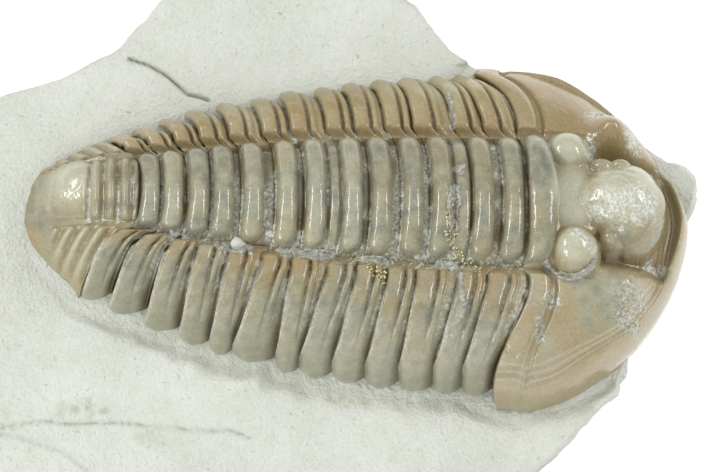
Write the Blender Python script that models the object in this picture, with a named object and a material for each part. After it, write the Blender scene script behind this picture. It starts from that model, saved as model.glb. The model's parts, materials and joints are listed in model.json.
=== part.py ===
"""Fossil trilobite of the flexicalymene kind, lying in its piece of shale.

The animal points along +X and its back is up.  It was set in the rock a little
rolled, so that the flank on the -Y side is turned up and the other one is part
buried.  Shapes are worked out in millimetres in the animal's own frame, whose
x runs along the body, y across it and z up from the two long furrows that
part the axis from the side lobes, and are then rolled and lifted into place.
"""
import math
from collections import namedtuple

import bmesh
import bpy

Form = namedtuple(
    "Form",
    "ring_x sweep far_sweep near_behind far_behind bow axis_half half_width crest flat power straight",
)
Taper = namedtuple("Taper", "width loss start length power")

MM = 0.001
TINY = 1e-4
SHARP_ANGLE = math.radians(40)

# How the animal lies in the rock
ROLL = math.radians(14)
COS_ROLL = math.cos(ROLL)
SIN_ROLL = math.sin(ROLL)
SLAB_TOP = 9.0
FURROW_HEIGHT = 12.9
PIECE_BOTTOM = 7.3
PIECE_LEAST = 0.4
POCKET_FLOOR = 7.0
GAP = 0.32

# Skew of the body: the far side is pushed towards the tail
SKEW_TAIL = 0.022
SKEW_HEAD = 0.06
TAIL_X = -22.5
FRONT_X = 22.45

# Thorax: where each ring's ends lie, head to tail, and how far each near rib sweeps back
RING_X = (9.99, 7.98, 5.24, 3.34, 1.27, -0.63, -3.04, -4.94, -7.16, -9.13, -10.75, -12.44, -13.99)
RIB_SWEEP = (1.9, 1.8, 1.3, 1.6, 1.7, 2.0, 1.1, 2.1, 1.4, 1.45, 2.2, 3.0, 3.35)
AXIS_TAPER = Taper(width=4.65, loss=0.485, start=10.0, length=25.6, power=2.1)
BODY_TAPER = Taper(width=11.1, loss=0.444, start=8.0, length=25.3, power=2.2)
THORAX_FRONT_X = 10.0
THORAX_LENGTH = 25.0
AXIS_SHARE = 0.38
FAR_REACH = 0.74
FLANK_DROP = 6.9
CREST_SHARE = 0.56

# Pairs below give a value at the front of the thorax and the value at its rear
RING_BOW = (0.66, 0.3)
FLAT_SHARE = (0.35, 0.24)
FLANK_POWER = (2.0, 1.5)
STRAIGHT_FROM = 0.55

# Rings
RING_WIDTH = 1.36
RING_BEHIND = 0.85
RING_RISE = 0.62
RING_END_POWER = 0.4
CORE_POWER = 1.2
FURROW_SINK = 0.2
FURROW_SHARE = 0.08

# Sweep of the ribs: near ones bend late in front and early at the rear
RIB_BEHIND = 1.27
STEP_SHARE = 0.12
SWEEP_LATE = 0.15
SWEEP_POWER = 1.4
FAR_SWEEP = (1.25, 1.8)
FAR_SWEEP_POWER = (2.6, 1.6)
FAR_SWEEP_FRONT = 1.5
FAR_SWEEP_X = 4.0
FAR_SWEEP_LENGTH = 7.0

# Bands of a rib, as shares of its width; pairs give the value at the root and at the tip
BAND_RISE = 0.36
BAND_MIDDLE = (0.28, 0.36)
BAND_HALF = (0.3, 0.42)
FRONT_BAND_RISE = 0.2
FRONT_BAND_MIDDLE = 0.79
FRONT_BAND_HALF = 0.15
FACET_DROP = 0.6
FACET_STARTS = 0.45
TIP_STARTS = 0.3
TIP_LENGTH = 0.45
CORNER_CUT = 0.07
CORNER_SHARE = 0.3

# Head shield: outline and rear edge
HEAD_RING_X = 11.75
HEAD_SWEEP = 2.5
HEAD_BEHIND_NEAR = 0.35
HEAD_BEHIND_FAR = 0.8
HEAD_MID_X = 11.0
HEAD_HALF = 12.2
HEAD_FAR_HALF = 10.9
HEAD_FAR_LEVEL = 0.97
HEAD_FAR_STARTS = 3.0
HEAD_FAR_LENGTH = 5.0
HEAD_POWER = 1.65
HEAD_LEAST = 0.8
HEAD_EVEN = 0.6

# Head shield: cheeks; pairs give the value at the side and in front
HEAD_EDGE_FRONT = -4.4
HEAD_EDGE_SIDE = -7.0
HEAD_EDGE_POWER = 1.2
CHEEK_FLAT = 0.4
FRONT_STARTS = 16.5
FRONT_LENGTH = 4.0
BORDER_FURROW = (0.94, 0.89)
BORDER_RISE = (0.55, 1.2)
BORDER_SINK = (0.3, 0.6)
BORDER_SINK_HALF = 0.04
REAR_BAND_RISE = 0.35
REAR_BAND_MIDDLE = 0.75
REAR_BAND_HALF = 0.75
REAR_BAND_STARTS = 4.4
REAR_BAND_FADE = 0.8
REAR_FURROW_SINK = 0.3
REAR_FURROW_MIDDLE = 1.75
REAR_FURROW_HALF = 0.35

# Head shield: furrows beside the middle lobe and beside the neck
MOAT_SINK = 0.9
MOAT_Y = 3.7
MOAT_HALF = 0.8
MOAT_X = (15.5, 21.0)
MOAT_FADE = 1.5
GUTTER_SINK = 0.25
GUTTER_Y = 4.7
GUTTER_HALF = 0.5
GUTTER_X = 16.0

# Head shield: ring behind the neck, and the neck's floor
HEAD_RING_HALF = (1.05, 0.72)
HEAD_RING_SINK = 0.4
AXIS_FLOOR_SHARE = 0.55
NECK_X = 13.2
NECK_LENGTH = 1.5

# Stumps of the eyes: x, y, radius, rise
EYES = ((18.1, -5.6, 1.7, 1.1), (17.7, 5.9, 2.3, 1.9))

# Lobes of the glabella: centre x and y, half length, half width, top, base
LOBES = (
    (16.4, 0.0, 4.3, 2.75, 2.5, 0.0),
    (18.2, -0.2, 2.35, 3.1, 2.3, -0.6),
    (14.7, -3.6, 1.55, 1.5, 1.7, -0.4),
    (14.5, 3.6, 1.45, 1.4, 1.7, -0.4),
    (17.0, -2.7, 0.65, 0.75, 1.0, -0.4),
    (17.0, 2.9, 0.65, 0.75, 1.0, -0.4),
)
NOWHERE = -99.0

# Tail shield: outline and slopes
TAIL_TIP_Y = 1.2
TAIL_NEAR_CURVE = 0.0703
TAIL_FAR_CURVE = 0.21
TAIL_CLOSE = 0.32
TAIL_LEAST = 0.6
TAIL_SLOPE = 3.9
TAIL_SLOPE_POWER = 1.7
TAIL_SIDE_POWER = 1.7
TAIL_SIDE_BEND = 1.5
TAIL_EDGE = -5.6
TAIL_EDGE_LENGTH = 5.0

# Tail shield: axis and ribs; pairs give where a fade starts and how long it is
TAIL_AXIS_HALF = 2.4
TAIL_AXIS_TAPER = 0.3
TAIL_AXIS_LEAN = 0.6
TAIL_AXIS_END_X = -19.9
TAIL_AXIS_RISE = 1.35
TAIL_AXIS_POWER = 1.1
TAIL_AXIS_SINK = 0.1
TAIL_AXIS_FADE = (1.9, 1.6)
TAIL_RING_PITCH = 0.98
TAIL_RING_RISE = 0.22
TAIL_RING_FADE = (1.6, 0.6)
TAIL_RIBS = 4
TAIL_RIB_RISE = 0.24
TAIL_RIB_ROOT = (0.1, 0.2)
TAIL_RIB_END = (0.95, 0.3)

# How finely each surface is cut
AXIS_CELLS = 8
FLANK_CELLS = 6
RIB_LINES = (0.0, 0.1, 0.27, 0.45, 0.62, 0.8, 1.0)
HEAD_ACROSS = 38
HEAD_ALONG = 22
TAIL_ALONG = 15
SLAB_RAYS = 72

# Corners of the slab's top, seen from above, starting at the tail and going by the near side
SLAB_CORNERS = (
    (-28.6, 2.0), (-29.4, -4.5), (-28.7, -11.0), (-26.4, -17.2), (-21.0, -21.3), (-12.5, -22.8),
    (-3.0, -22.4), (6.0, -21.2), (12.4, -17.6), (14.9, -15.3), (16.7, -13.0), (17.9, -12.2),
    (18.4, -10.0), (19.0, -8.0), (20.2, -5.5), (21.3, -2.5), (22.4, 0.2), (22.9, 1.4),
    (23.0, 2.3), (22.1, 3.4), (20.0, 4.4), (17.0, 6.3), (14.0, 7.8), (11.0, 9.2),
    (7.8, 10.0), (6.1, 11.2), (4.8, 12.7), (3.5, 14.1), (0.5, 16.4), (-6.0, 17.2),
    (-12.0, 15.6), (-14.4, 12.3), (-16.6, 9.9), (-19.8, 8.4), (-23.8, 7.1), (-27.2, 5.6),
)
SLAB_CENTRE = (0.0, -1.5)

# Pocket and trench round the animal; a direction counts as near when it points to -Y
REACH_SPREAD = 4
POCKET_CLEAR = 0.34
POCKET_WALL = 0.16
POCKET_INSET = 1.6
TRENCH_LEVEL = 8.55
TRENCH_NEAR = 1.3
TRENCH_FAR = 0.4
NEAR_MIDDLE = 0.5
NEAR_SLOPE = 1.2
ROCK_LEAST = 0.5
RIM_INSET = 0.8

# The slab's broken edge and its waves
EDGE_BEVEL = 0.4
EDGE_DROP = 0.7
BULGE_IN = 0.5
BULGE_HEIGHT = 4.6
SLAB_UNDERCUT = 2.4
SLAB_WAVE = 0.22
WAVE_BROAD = (0.23, 0.31)
WAVE_FINE = (0.5, 0.37)
WAVE_FINE_SHARE = 0.5
WAVE_SHIFT = 0.4
PARALLEL = 1e-9
CORNER_SLACK = 1e-6


def clamp(value):
    return min(1.0, max(0.0, value))


def ease(value):
    value = clamp(value)
    return value * value * (3.0 - 2.0 * value)


def mix(first, second, share):
    return first + (second - first) * share


def dome(value):
    return math.sqrt(max(0.0, 1.0 - value * value))


def place(x, y, z):
    """From the animal's frame to the world, in metres."""
    skew = mix(SKEW_TAIL, SKEW_HEAD, clamp((x - TAIL_X) / (FRONT_X - TAIL_X)))
    world_y = y * COS_ROLL + z * SIN_ROLL
    world_z = FURROW_HEIGHT - y * SIN_ROLL + z * COS_ROLL
    return (MM * (x - skew * y), MM * world_y, MM * world_z)


def tapered(taper, x):
    """Half a width that shrinks towards the tail."""
    behind = max(0.0, (taper.start - x) / taper.length)
    return taper.width * (1.0 - taper.loss * behind ** taper.power)


def far_sweep_at(ring_x, straight):
    """How far a far rib sweeps back: much in front, little in the middle."""
    front = ease((ring_x - FAR_SWEEP_X) / FAR_SWEEP_LENGTH)
    return mix(*FAR_SWEEP, straight) + FAR_SWEEP_FRONT * front


def body_form(ring_x, sweep, near_behind=RIB_BEHIND, far_behind=RIB_BEHIND):
    """Everything that sets one cross-section of the thorax."""
    rear = clamp((THORAX_FRONT_X - ring_x) / THORAX_LENGTH)
    straight = ease((rear - STRAIGHT_FROM) / (1.0 - STRAIGHT_FROM))
    axis_half = tapered(AXIS_TAPER, ring_x)
    return Form(
        ring_x=ring_x,
        sweep=sweep,
        far_sweep=far_sweep_at(ring_x, straight),
        near_behind=near_behind,
        far_behind=far_behind,
        bow=mix(*RING_BOW, rear),
        axis_half=axis_half,
        half_width=tapered(BODY_TAPER, ring_x - RIB_BEHIND - sweep),
        crest=CREST_SHARE * axis_half,
        flat=mix(*FLAT_SHARE, rear),
        power=mix(*FLANK_POWER, ease(rear)),
        straight=straight,
    )


def flank_reach(side):
    """0 where a flank starts beside the axis and 1 at the tip of its ribs."""
    return (abs(side) - AXIS_SHARE) / (1.0 - AXIS_SHARE)


def rib_swept(form, side, reach):
    """How far a rib has swept back at this share of the way to its tip."""
    if side > 0.0:
        power = mix(*FAR_SWEEP_POWER, form.straight)
        return form.far_sweep * clamp(reach / FAR_REACH) ** power
    late = ease((reach - SWEEP_LATE) / (1.0 - SWEEP_LATE))
    early = 1.0 - (1.0 - reach) ** SWEEP_POWER
    return form.sweep * mix(late, early, form.straight)


def rear_edge(form, side):
    """x of a segment's rear edge; side runs from -1 at the near tip to 1 at the far one."""
    if abs(side) <= AXIS_SHARE:
        turn = 0.5 * math.pi * side / AXIS_SHARE
        return form.ring_x - RING_BEHIND + form.bow * math.cos(turn)
    reach = flank_reach(side)
    behind = form.near_behind if side < 0.0 else form.far_behind
    step = mix(RING_BEHIND, behind, ease(reach / STEP_SHARE))
    return form.ring_x - step - rib_swept(form, side, reach)


def flank_point(form, reach):
    """y and z of the side lobe and its outward direction, before any relief."""
    fulcrum = mix(form.axis_half, form.half_width, form.flat)
    if reach < form.flat:
        return mix(form.axis_half, fulcrum, reach / form.flat), 0.0, 0.0, 1.0
    turn = 0.5 * math.pi * (reach - form.flat) / (1.0 - form.flat)
    width = form.half_width - fulcrum
    bend = 2.0 / form.power
    sine = max(math.sin(turn), TINY)
    cosine = max(math.cos(turn), TINY)
    out = sine ** (2.0 - bend) / width
    up = cosine ** (2.0 - bend) / FLANK_DROP
    length = math.hypot(out, up)
    return fulcrum + width * sine ** bend, -FLANK_DROP * (1.0 - cosine ** bend), out / length, up / length


def rib_relief(reach, along):
    """Height of the rear band, its furrow, the front band and the facet that slides under."""
    outer = ease((reach - TIP_STARTS) / TIP_LENGTH)
    relief = BAND_RISE * dome((along - mix(*BAND_MIDDLE, outer)) / mix(*BAND_HALF, outer))
    relief += FRONT_BAND_RISE * dome((along - FRONT_BAND_MIDDLE) / FRONT_BAND_HALF) * (1.0 - outer)
    relief -= FACET_DROP * outer * ease((along - FACET_STARTS) / (1.0 - FACET_STARTS))
    return mix(-FURROW_SINK, relief, ease(reach / FURROW_SHARE))


def ring_point(form, side, x):
    """y and z of a ring at this x."""
    turn = 0.5 * math.pi * side / AXIS_SHARE
    middle = form.ring_x + form.bow * math.cos(turn)
    ring = RING_RISE * dome((x - middle) / (0.5 * RING_WIDTH)) * math.cos(turn) ** RING_END_POWER
    core = (form.crest - RING_RISE) * math.cos(turn) ** CORE_POWER
    return form.axis_half * math.sin(turn), core + ring - FURROW_SINK


def segment_point(form, ahead, side, along):
    """A point of a segment's back; ahead is the form of the piece in front of it."""
    rear = rear_edge(form, side)
    x = mix(rear, rear_edge(ahead, side) - GAP, along)
    if abs(side) <= AXIS_SHARE:
        return x, *ring_point(form, side, x)
    corner = CORNER_CUT * (1.0 - clamp(along / CORNER_SHARE)) ** 2
    reach = flank_reach(side) * (1.0 - corner)
    y, z, out, up = flank_point(form, reach)
    relief = rib_relief(reach, along)
    return x, math.copysign(y + relief * out, side), z + relief * up


def solid_from_sheet(name, columns, rows, point, material):
    """A grid bent to a surface, then pushed straight down to a flat underside."""
    mesh = bmesh.new()
    bmesh.ops.create_grid(mesh, x_segments=columns, y_segments=rows, size=1.0)
    for vert in mesh.verts:
        column = round(0.5 * (vert.co.x + 1.0) * columns)
        row = round(0.5 * (vert.co.y + 1.0) * rows)
        vert.co = place(*point(column, row))
        vert.co.z = max(vert.co.z, MM * (PIECE_BOTTOM + PIECE_LEAST))
    pushed = bmesh.ops.extrude_face_region(mesh, geom=mesh.faces[:])["geom"]
    under = [item for item in pushed if isinstance(item, bmesh.types.BMFace)]
    for vert in {vert for face in under for vert in face.verts}:
        vert.co.z = MM * PIECE_BOTTOM
    bmesh.ops.dissolve_faces(mesh, faces=under, use_verts=False)
    return finish_mesh(name, mesh, material)


def finish_mesh(name, mesh, material):
    bmesh.ops.triangulate(mesh, faces=mesh.faces[:])
    bmesh.ops.recalc_face_normals(mesh, faces=mesh.faces[:])
    data = bpy.data.meshes.new(name)
    mesh.to_mesh(data)
    mesh.free()
    data.materials.append(material)
    data.shade_smooth()
    data.set_sharp_from_angle(angle=SHARP_ANGLE)
    thing = bpy.data.objects.new(name, data)
    PARTS.objects.link(thing)
    return thing


def make_material(name, colour, roughness):
    material = bpy.data.materials.new(name)
    material.use_nodes = True
    shader = material.node_tree.nodes["Principled BSDF"]
    shader.inputs["Base Color"].default_value = (*colour, 1.0)
    shader.inputs["Roughness"].default_value = roughness
    shader.inputs["Metallic"].default_value = 0.0
    return material


def side_of_column(column):
    """Cells are spread evenly over the axis and, apart from it, over each flank."""
    half_axis = AXIS_CELLS // 2
    from_middle = column - FLANK_CELLS - half_axis
    if abs(from_middle) <= half_axis:
        return AXIS_SHARE * from_middle / half_axis
    reach = (abs(from_middle) - half_axis) / FLANK_CELLS
    if from_middle > 0:
        reach *= FAR_REACH
    return math.copysign(mix(AXIS_SHARE, 1.0, reach), from_middle)


def make_segment(number, form, ahead, material):
    def point(column, row):
        return segment_point(form, ahead, side_of_column(column), RIB_LINES[row])

    columns = AXIS_CELLS + 2 * FLANK_CELLS
    name = f"thoracic_segment_{number:02d}"
    return solid_from_sheet(name, columns, len(RIB_LINES) - 1, point, material)


def head_front(y):
    """x where the head shield ends; on the far side the rock hides its outermost rim."""
    shown = mix(1.0, HEAD_FAR_LEVEL, ease((y - HEAD_FAR_STARTS) / HEAD_FAR_LENGTH))
    share = clamp(shown ** HEAD_POWER - (abs(y) / HEAD_HALF) ** HEAD_POWER)
    return HEAD_MID_X + (FRONT_X - HEAD_MID_X) * share ** (1.0 / HEAD_POWER)


def head_level(x, y):
    """0 in the middle of the head and 1 on its edge."""
    forward = max(0.0, x - HEAD_MID_X) / (FRONT_X - HEAD_MID_X)
    return (forward ** HEAD_POWER + (abs(y) / HEAD_HALF) ** HEAD_POWER) ** (1.0 / HEAD_POWER)


def head_side(y):
    """The side value, as the segments use it, of a place across the head."""
    if abs(y) <= HEAD_FORM.axis_half:
        return AXIS_SHARE * math.asin(y / HEAD_FORM.axis_half) * 2.0 / math.pi
    reach = clamp((abs(y) - HEAD_FORM.axis_half) / (HEAD_HALF - HEAD_FORM.axis_half))
    return math.copysign(mix(AXIS_SHARE, 1.0, reach), y)


def lump(x, y, centre_x, centre_y, half_x, half_y, top, base):
    """Height of an egg-shaped lump, or far below everything outside it."""
    spread = ((x - centre_x) / half_x) ** 2 + ((y - centre_y) / half_y) ** 2
    if spread >= 1.0:
        return NOWHERE
    return base + (top - base) * math.sqrt(1.0 - spread)


def bump(x, y, centre_x, centre_y, radius, rise):
    """A soft hill that ends at its radius."""
    return rise * ease(1.0 - math.hypot(x - centre_x, y - centre_y) / radius)


def border_height(level, x):
    """The rolled border along the head's edge and the furrow behind it."""
    front = ease((x - FRONT_STARTS) / FRONT_LENGTH)
    furrow = mix(*BORDER_FURROW, front)
    roll = dome((level - 0.5 * (1.0 + furrow)) / (0.5 * (1.0 - furrow)))
    groove = dome((level - furrow) / BORDER_SINK_HALF)
    return mix(*BORDER_RISE, front) * roll - mix(*BORDER_SINK, front) * groove


def rear_band(x, y):
    """The raised band along the head's rear edge, outside the axis, and its furrow."""
    behind = x - rear_edge(HEAD_FORM, head_side(y))
    band = REAR_BAND_RISE * dome((behind - REAR_BAND_MIDDLE) / REAR_BAND_HALF)
    furrow = REAR_FURROW_SINK * dome((behind - REAR_FURROW_MIDDLE) / REAR_FURROW_HALF)
    return (band - furrow) * ease((abs(y) - REAR_BAND_STARTS) / REAR_BAND_FADE)


def moat_depth(x, y):
    """The deep furrow beside the middle lobe and the shallow one beside the neck."""
    front = ease((x - MOAT_X[0]) / MOAT_FADE) * ease((MOAT_X[1] - x) / MOAT_FADE)
    moat = MOAT_SINK * front * dome((abs(y) - MOAT_Y) / MOAT_HALF)
    return moat + GUTTER_SINK * dome((abs(y) - GUTTER_Y) / GUTTER_HALF) * ease(GUTTER_X - x)


def cheek_height(x, y):
    level = head_level(x, y)
    edge = mix(HEAD_EDGE_FRONT, HEAD_EDGE_SIDE, clamp(abs(y) / HEAD_HALF) ** HEAD_EDGE_POWER)
    height = edge * (1.0 - dome(clamp((level - CHEEK_FLAT) / (1.0 - CHEEK_FLAT))))
    height += border_height(level, x) + rear_band(x, y) - moat_depth(x, y)
    return height + sum(bump(x, y, *eye) for eye in EYES)


def head_ring(x, y):
    """Height of the ring behind the neck, or far below everything beside it."""
    turn = clamp(abs(y) / HEAD_FORM.axis_half)
    across = (x - HEAD_RING_X - HEAD_FORM.bow * dome(turn)) / mix(*HEAD_RING_HALF, turn)
    if turn >= 1.0 or abs(across) >= 1.0:
        return NOWHERE
    core = (HEAD_FORM.crest - HEAD_RING_SINK) * dome(turn) ** CORE_POWER
    return core + RING_RISE * dome(across) - FURROW_SINK


def head_floor(x, y, cheek):
    """The floor of the neck's furrow, which passes into the cheeks' surface towards the front."""
    floor = cheek
    if abs(y) <= HEAD_FORM.axis_half:
        arch = dome(y / HEAD_FORM.axis_half)
        floor = AXIS_FLOOR_SHARE * HEAD_FORM.crest * arch - FURROW_SINK
    return mix(floor, cheek, ease((x - NECK_X) / NECK_LENGTH))


def head_height(x, y):
    lobes = max(lump(x, y, *lobe) for lobe in LOBES)
    return max(head_floor(x, y, cheek_height(x, y)), lobes, head_ring(x, y))


def make_head(material):
    def point(column, row):
        share = 2.0 * column / HEAD_ACROSS - 1.0
        half = HEAD_HALF if share < 0.0 else HEAD_FAR_HALF
        y = half * mix(math.sin(0.5 * math.pi * share), share, HEAD_EVEN)
        start = rear_edge(HEAD_FORM, head_side(y))
        end = max(head_front(y), start + HEAD_LEAST)
        x = mix(start, end, row / HEAD_ALONG)
        return x, y, head_height(x, y)

    return solid_from_sheet("cephalon", HEAD_ACROSS, HEAD_ALONG, point, material)


def tail_rear(y):
    """x of the tail shield's edge at this distance from the middle."""
    off = y - TAIL_TIP_Y
    curve = TAIL_FAR_CURVE if off > 0.0 else TAIL_NEAR_CURVE
    return TAIL_X + curve * off * off


def tail_axis(x, turn, form):
    """Height of the fused rings over the slope that carries them."""
    behind = form.ring_x - RING_BEHIND - x
    ripple = TAIL_RING_RISE * math.cos(2.0 * math.pi * (behind / TAIL_RING_PITCH - 0.5))
    ripple *= ease((x - TAIL_AXIS_END_X - TAIL_RING_FADE[0]) / TAIL_RING_FADE[1])
    inside = ease((x - TAIL_AXIS_END_X + TAIL_AXIS_FADE[0]) / TAIL_AXIS_FADE[1])
    return (TAIL_AXIS_RISE * dome(turn) ** TAIL_AXIS_POWER + ripple) * inside - TAIL_AXIS_SINK


def tail_ribs(share, reach):
    ribs = TAIL_RIB_RISE * math.sin(2.0 * math.pi * TAIL_RIBS * share)
    root = ease((reach - TAIL_RIB_ROOT[0]) / TAIL_RIB_ROOT[1])
    return ribs * root * ease((TAIL_RIB_END[0] - share) / TAIL_RIB_END[1])


def tail_height(x, y, share, reach, form):
    """share runs from the front edge to the rear one, reach from the middle to the side."""
    slope = -TAIL_SLOPE * share ** TAIL_SLOPE_POWER
    fallen = 1.0 - (1.0 - clamp(reach) ** TAIL_SIDE_POWER) ** (1.0 / TAIL_SIDE_BEND)
    side_drop = FLANK_DROP * fallen * (1.0 - 0.5 * share)
    pleura = max(slope - side_drop, TAIL_EDGE + clamp(y / TAIL_EDGE_LENGTH))
    half = TAIL_AXIS_HALF * (1.0 - TAIL_AXIS_TAPER * share)
    turn = clamp(abs(y - TAIL_AXIS_LEAN * share) / half)
    if turn < 1.0:
        return max(slope + tail_axis(x, turn, form), pleura)
    return pleura + tail_ribs(share, reach)


def make_tail(form, material):
    def point(column, row):
        side = side_of_column(column)
        edge_x = rear_edge(form, side) - GAP
        edge_y = segment_point(form, form, side, 0.0)[1]
        share = row / TAIL_ALONG
        y = mix(edge_y, mix(edge_y, TAIL_TIP_Y, TAIL_CLOSE), share)
        x = mix(edge_x, min(tail_rear(y), edge_x - TAIL_LEAST), share)
        return x, y, tail_height(x, y, share, flank_reach(side), form)

    return solid_from_sheet("pygidium", AXIS_CELLS + 2 * FLANK_CELLS, TAIL_ALONG, point, material)


def ray_length(corners, angle):
    """Distance from the slab's centre to a closed outline, along one direction."""
    run_x = math.cos(angle)
    run_y = math.sin(angle)
    best = 0.0
    for first, second in zip(corners, corners[1:] + corners[:1]):
        ax = first[0] - SLAB_CENTRE[0]
        ay = first[1] - SLAB_CENTRE[1]
        bx = second[0] - first[0]
        by = second[1] - first[1]
        cross = run_x * by - run_y * bx
        if abs(cross) < PARALLEL:
            continue
        along_ray = (ax * by - ay * bx) / cross
        along_edge = (ax * run_y - ay * run_x) / cross
        if along_ray > 0.0 and -CORNER_SLACK <= along_edge <= 1.0 + CORNER_SLACK:
            best = max(best, along_ray)
    return best


def slab_wave(x, y):
    broad = math.sin(WAVE_BROAD[0] * x + WAVE_SHIFT) * math.cos(WAVE_BROAD[1] * y)
    fine = math.sin(WAVE_FINE[0] * x - WAVE_FINE[1] * y)
    return SLAB_WAVE * (broad + WAVE_FINE_SHARE * fine)


def animal_reach(pieces):
    """How far the fossil's solids reach from the slab's centre, for each degree of direction."""
    reach = [0.0] * 360
    for piece in pieces:
        for vert in piece.data.vertices:
            x = vert.co.x / MM - SLAB_CENTRE[0]
            y = vert.co.y / MM - SLAB_CENTRE[1]
            degree = round(math.degrees(math.atan2(y, x))) % 360
            reach[degree] = max(reach[degree], math.hypot(x, y))
    return reach


def slab_profile(angle, animal):
    """Distance from the centre and height of each ring of the slab, in one direction."""
    outer = ray_length(SLAB_CORNERS, angle)
    near = ease(NEAR_MIDDLE - NEAR_SLOPE * math.sin(angle))
    pocket = animal + POCKET_CLEAR
    rim = pocket + POCKET_WALL + mix(TRENCH_FAR, TRENCH_NEAR, near)
    under_head = rim > outer - ROCK_LEAST
    pocket = min(pocket, outer - POCKET_INSET)
    rim = min(rim, outer - RIM_INSET)
    top = POCKET_FLOOR if under_head else SLAB_TOP
    trench = POCKET_FLOOR if under_head else mix(SLAB_TOP, TRENCH_LEVEL, near)
    edge = outer - EDGE_BEVEL
    return [
        (0.5 * pocket, POCKET_FLOOR),
        (pocket, POCKET_FLOOR),
        (pocket + POCKET_WALL, trench),
        (rim, top),
        (0.5 * (rim + edge), top),
        (edge, top),
        (outer, top - EDGE_DROP),
        (outer - BULGE_IN, BULGE_HEIGHT),
        (outer - SLAB_UNDERCUT, 0.0),
    ]


def add_ring(mesh, angles, profiles, level):
    """One ring of the slab's points; only the old top surface is wavy."""
    ring = []
    for angle, profile in zip(angles, profiles):
        radius, height = profile[level]
        x = SLAB_CENTRE[0] + radius * math.cos(angle)
        y = SLAB_CENTRE[1] + radius * math.sin(angle)
        if height == SLAB_TOP:
            height += slab_wave(x, y)
        ring.append(mesh.verts.new((MM * x, MM * y, MM * height)))
    return ring


def join_rings(mesh, rings):
    """Faces between neighbouring rings, and one to close the first and the last."""
    for inner, outer in zip(rings, rings[1:]):
        for ray in range(len(inner)):
            follow = (ray + 1) % len(inner)
            mesh.faces.new((inner[ray], outer[ray], outer[follow], inner[follow]))
    mesh.faces.new(rings[0])
    mesh.faces.new(list(reversed(rings[-1])))


def make_slab(pieces, material):
    reach = animal_reach(pieces)
    angles = [2.0 * math.pi * ray / SLAB_RAYS for ray in range(SLAB_RAYS)]
    profiles = []
    for angle in angles:
        degree = round(math.degrees(angle))
        around = range(degree - REACH_SPREAD, degree + REACH_SPREAD + 1)
        profiles.append(slab_profile(angle, max(reach[step % 360] for step in around)))
    mesh = bmesh.new()
    rings = [add_ring(mesh, angles, profiles, level) for level in range(len(profiles[0]))]
    join_rings(mesh, rings)
    return finish_mesh("shale_matrix", mesh, material)


def clear_scene():
    for thing in list(bpy.data.objects):
        bpy.data.objects.remove(thing)


HEAD_FORM = body_form(HEAD_RING_X, HEAD_SWEEP, HEAD_BEHIND_NEAR, HEAD_BEHIND_FAR)
clear_scene()
PARTS = bpy.data.collections.new("flexicalymene_trilobite")
bpy.context.scene.collection.children.link(PARTS)


def main():
    shell = make_material("calcite shell", (0.32, 0.24, 0.15), 0.28)
    shale = make_material("shale", (0.62, 0.63, 0.58), 0.9)
    forms = [HEAD_FORM] + [body_form(x, sweep) for x, sweep in zip(RING_X, RIB_SWEEP)]
    pieces = [make_head(shell)]
    for number in range(1, len(forms)):
        pieces.append(make_segment(number, forms[number], forms[number - 1], shell))
    pieces.append(make_tail(forms[-1], shell))
    make_slab(pieces, shale)


main()
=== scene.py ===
# %% [markdown]
# # A fossil trilobite in its slab of shale
#
# The object is an animal of about 45 mm, turned to stone, that a preparator has freed from
# the top of a slab with needles and fine grit and then varnished.  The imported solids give
# every plate its place and size.  Here each plate gets its real surface: rings, furrows, the
# rock that still sits in the grooves, and the wet-looking shine of the varnish.
#
# All shapes are worked out in millimetres and turned into metres when their mesh is made.

import json
import math
from collections import namedtuple

import bmesh
import bpy
import numpy as np
from mathutils import Matrix, Vector
from mathutils.bvhtree import BVHTree

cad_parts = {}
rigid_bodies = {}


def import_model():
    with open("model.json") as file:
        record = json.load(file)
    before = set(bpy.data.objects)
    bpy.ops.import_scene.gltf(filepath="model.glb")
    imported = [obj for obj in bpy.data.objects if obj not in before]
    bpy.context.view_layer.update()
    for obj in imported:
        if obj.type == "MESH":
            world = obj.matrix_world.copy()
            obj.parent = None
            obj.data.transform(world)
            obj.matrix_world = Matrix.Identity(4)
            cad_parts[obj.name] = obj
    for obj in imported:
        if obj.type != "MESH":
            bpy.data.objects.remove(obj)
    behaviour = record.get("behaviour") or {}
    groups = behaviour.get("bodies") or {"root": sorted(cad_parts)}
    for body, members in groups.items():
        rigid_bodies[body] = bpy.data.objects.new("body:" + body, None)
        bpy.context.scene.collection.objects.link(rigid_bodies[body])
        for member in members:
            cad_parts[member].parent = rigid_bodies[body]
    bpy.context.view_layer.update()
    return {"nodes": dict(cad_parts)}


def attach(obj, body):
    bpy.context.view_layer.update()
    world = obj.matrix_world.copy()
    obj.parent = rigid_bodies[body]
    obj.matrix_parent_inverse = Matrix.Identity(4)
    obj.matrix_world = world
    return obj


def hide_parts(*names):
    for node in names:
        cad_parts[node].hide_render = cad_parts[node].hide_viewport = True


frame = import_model()
MM = 0.001
print("solids in the frame:", len(frame["nodes"]))

# %% [markdown]
# ## Where the camera stands
#
# The photograph looks almost straight down on the slab, 80 degrees above it, from far away,
# so near and far plates look equally large.  One pixel is 0.0668 mm of the object.  The
# picture is also turned by under two degrees, so the body slopes a little to the right.  An
# orthographic camera would do too; a long lens half a metre away gives the same flat view and
# still behaves like the real camera.

# %% Camera
PIXEL = 0.0668
PHOTO_WIDTH = 708
PHOTO_CENTRE = (354.0, 236.0)
BODY_PIXEL = (355.0, 196.8)
BODY_HEIGHT = 12.9
VIEW_ABOVE_SLAB = math.radians(80)
VIEW_TURN = math.radians(1.66)
CAMERA_AWAY = 0.5
SENSOR_MM = 36.0

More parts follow.
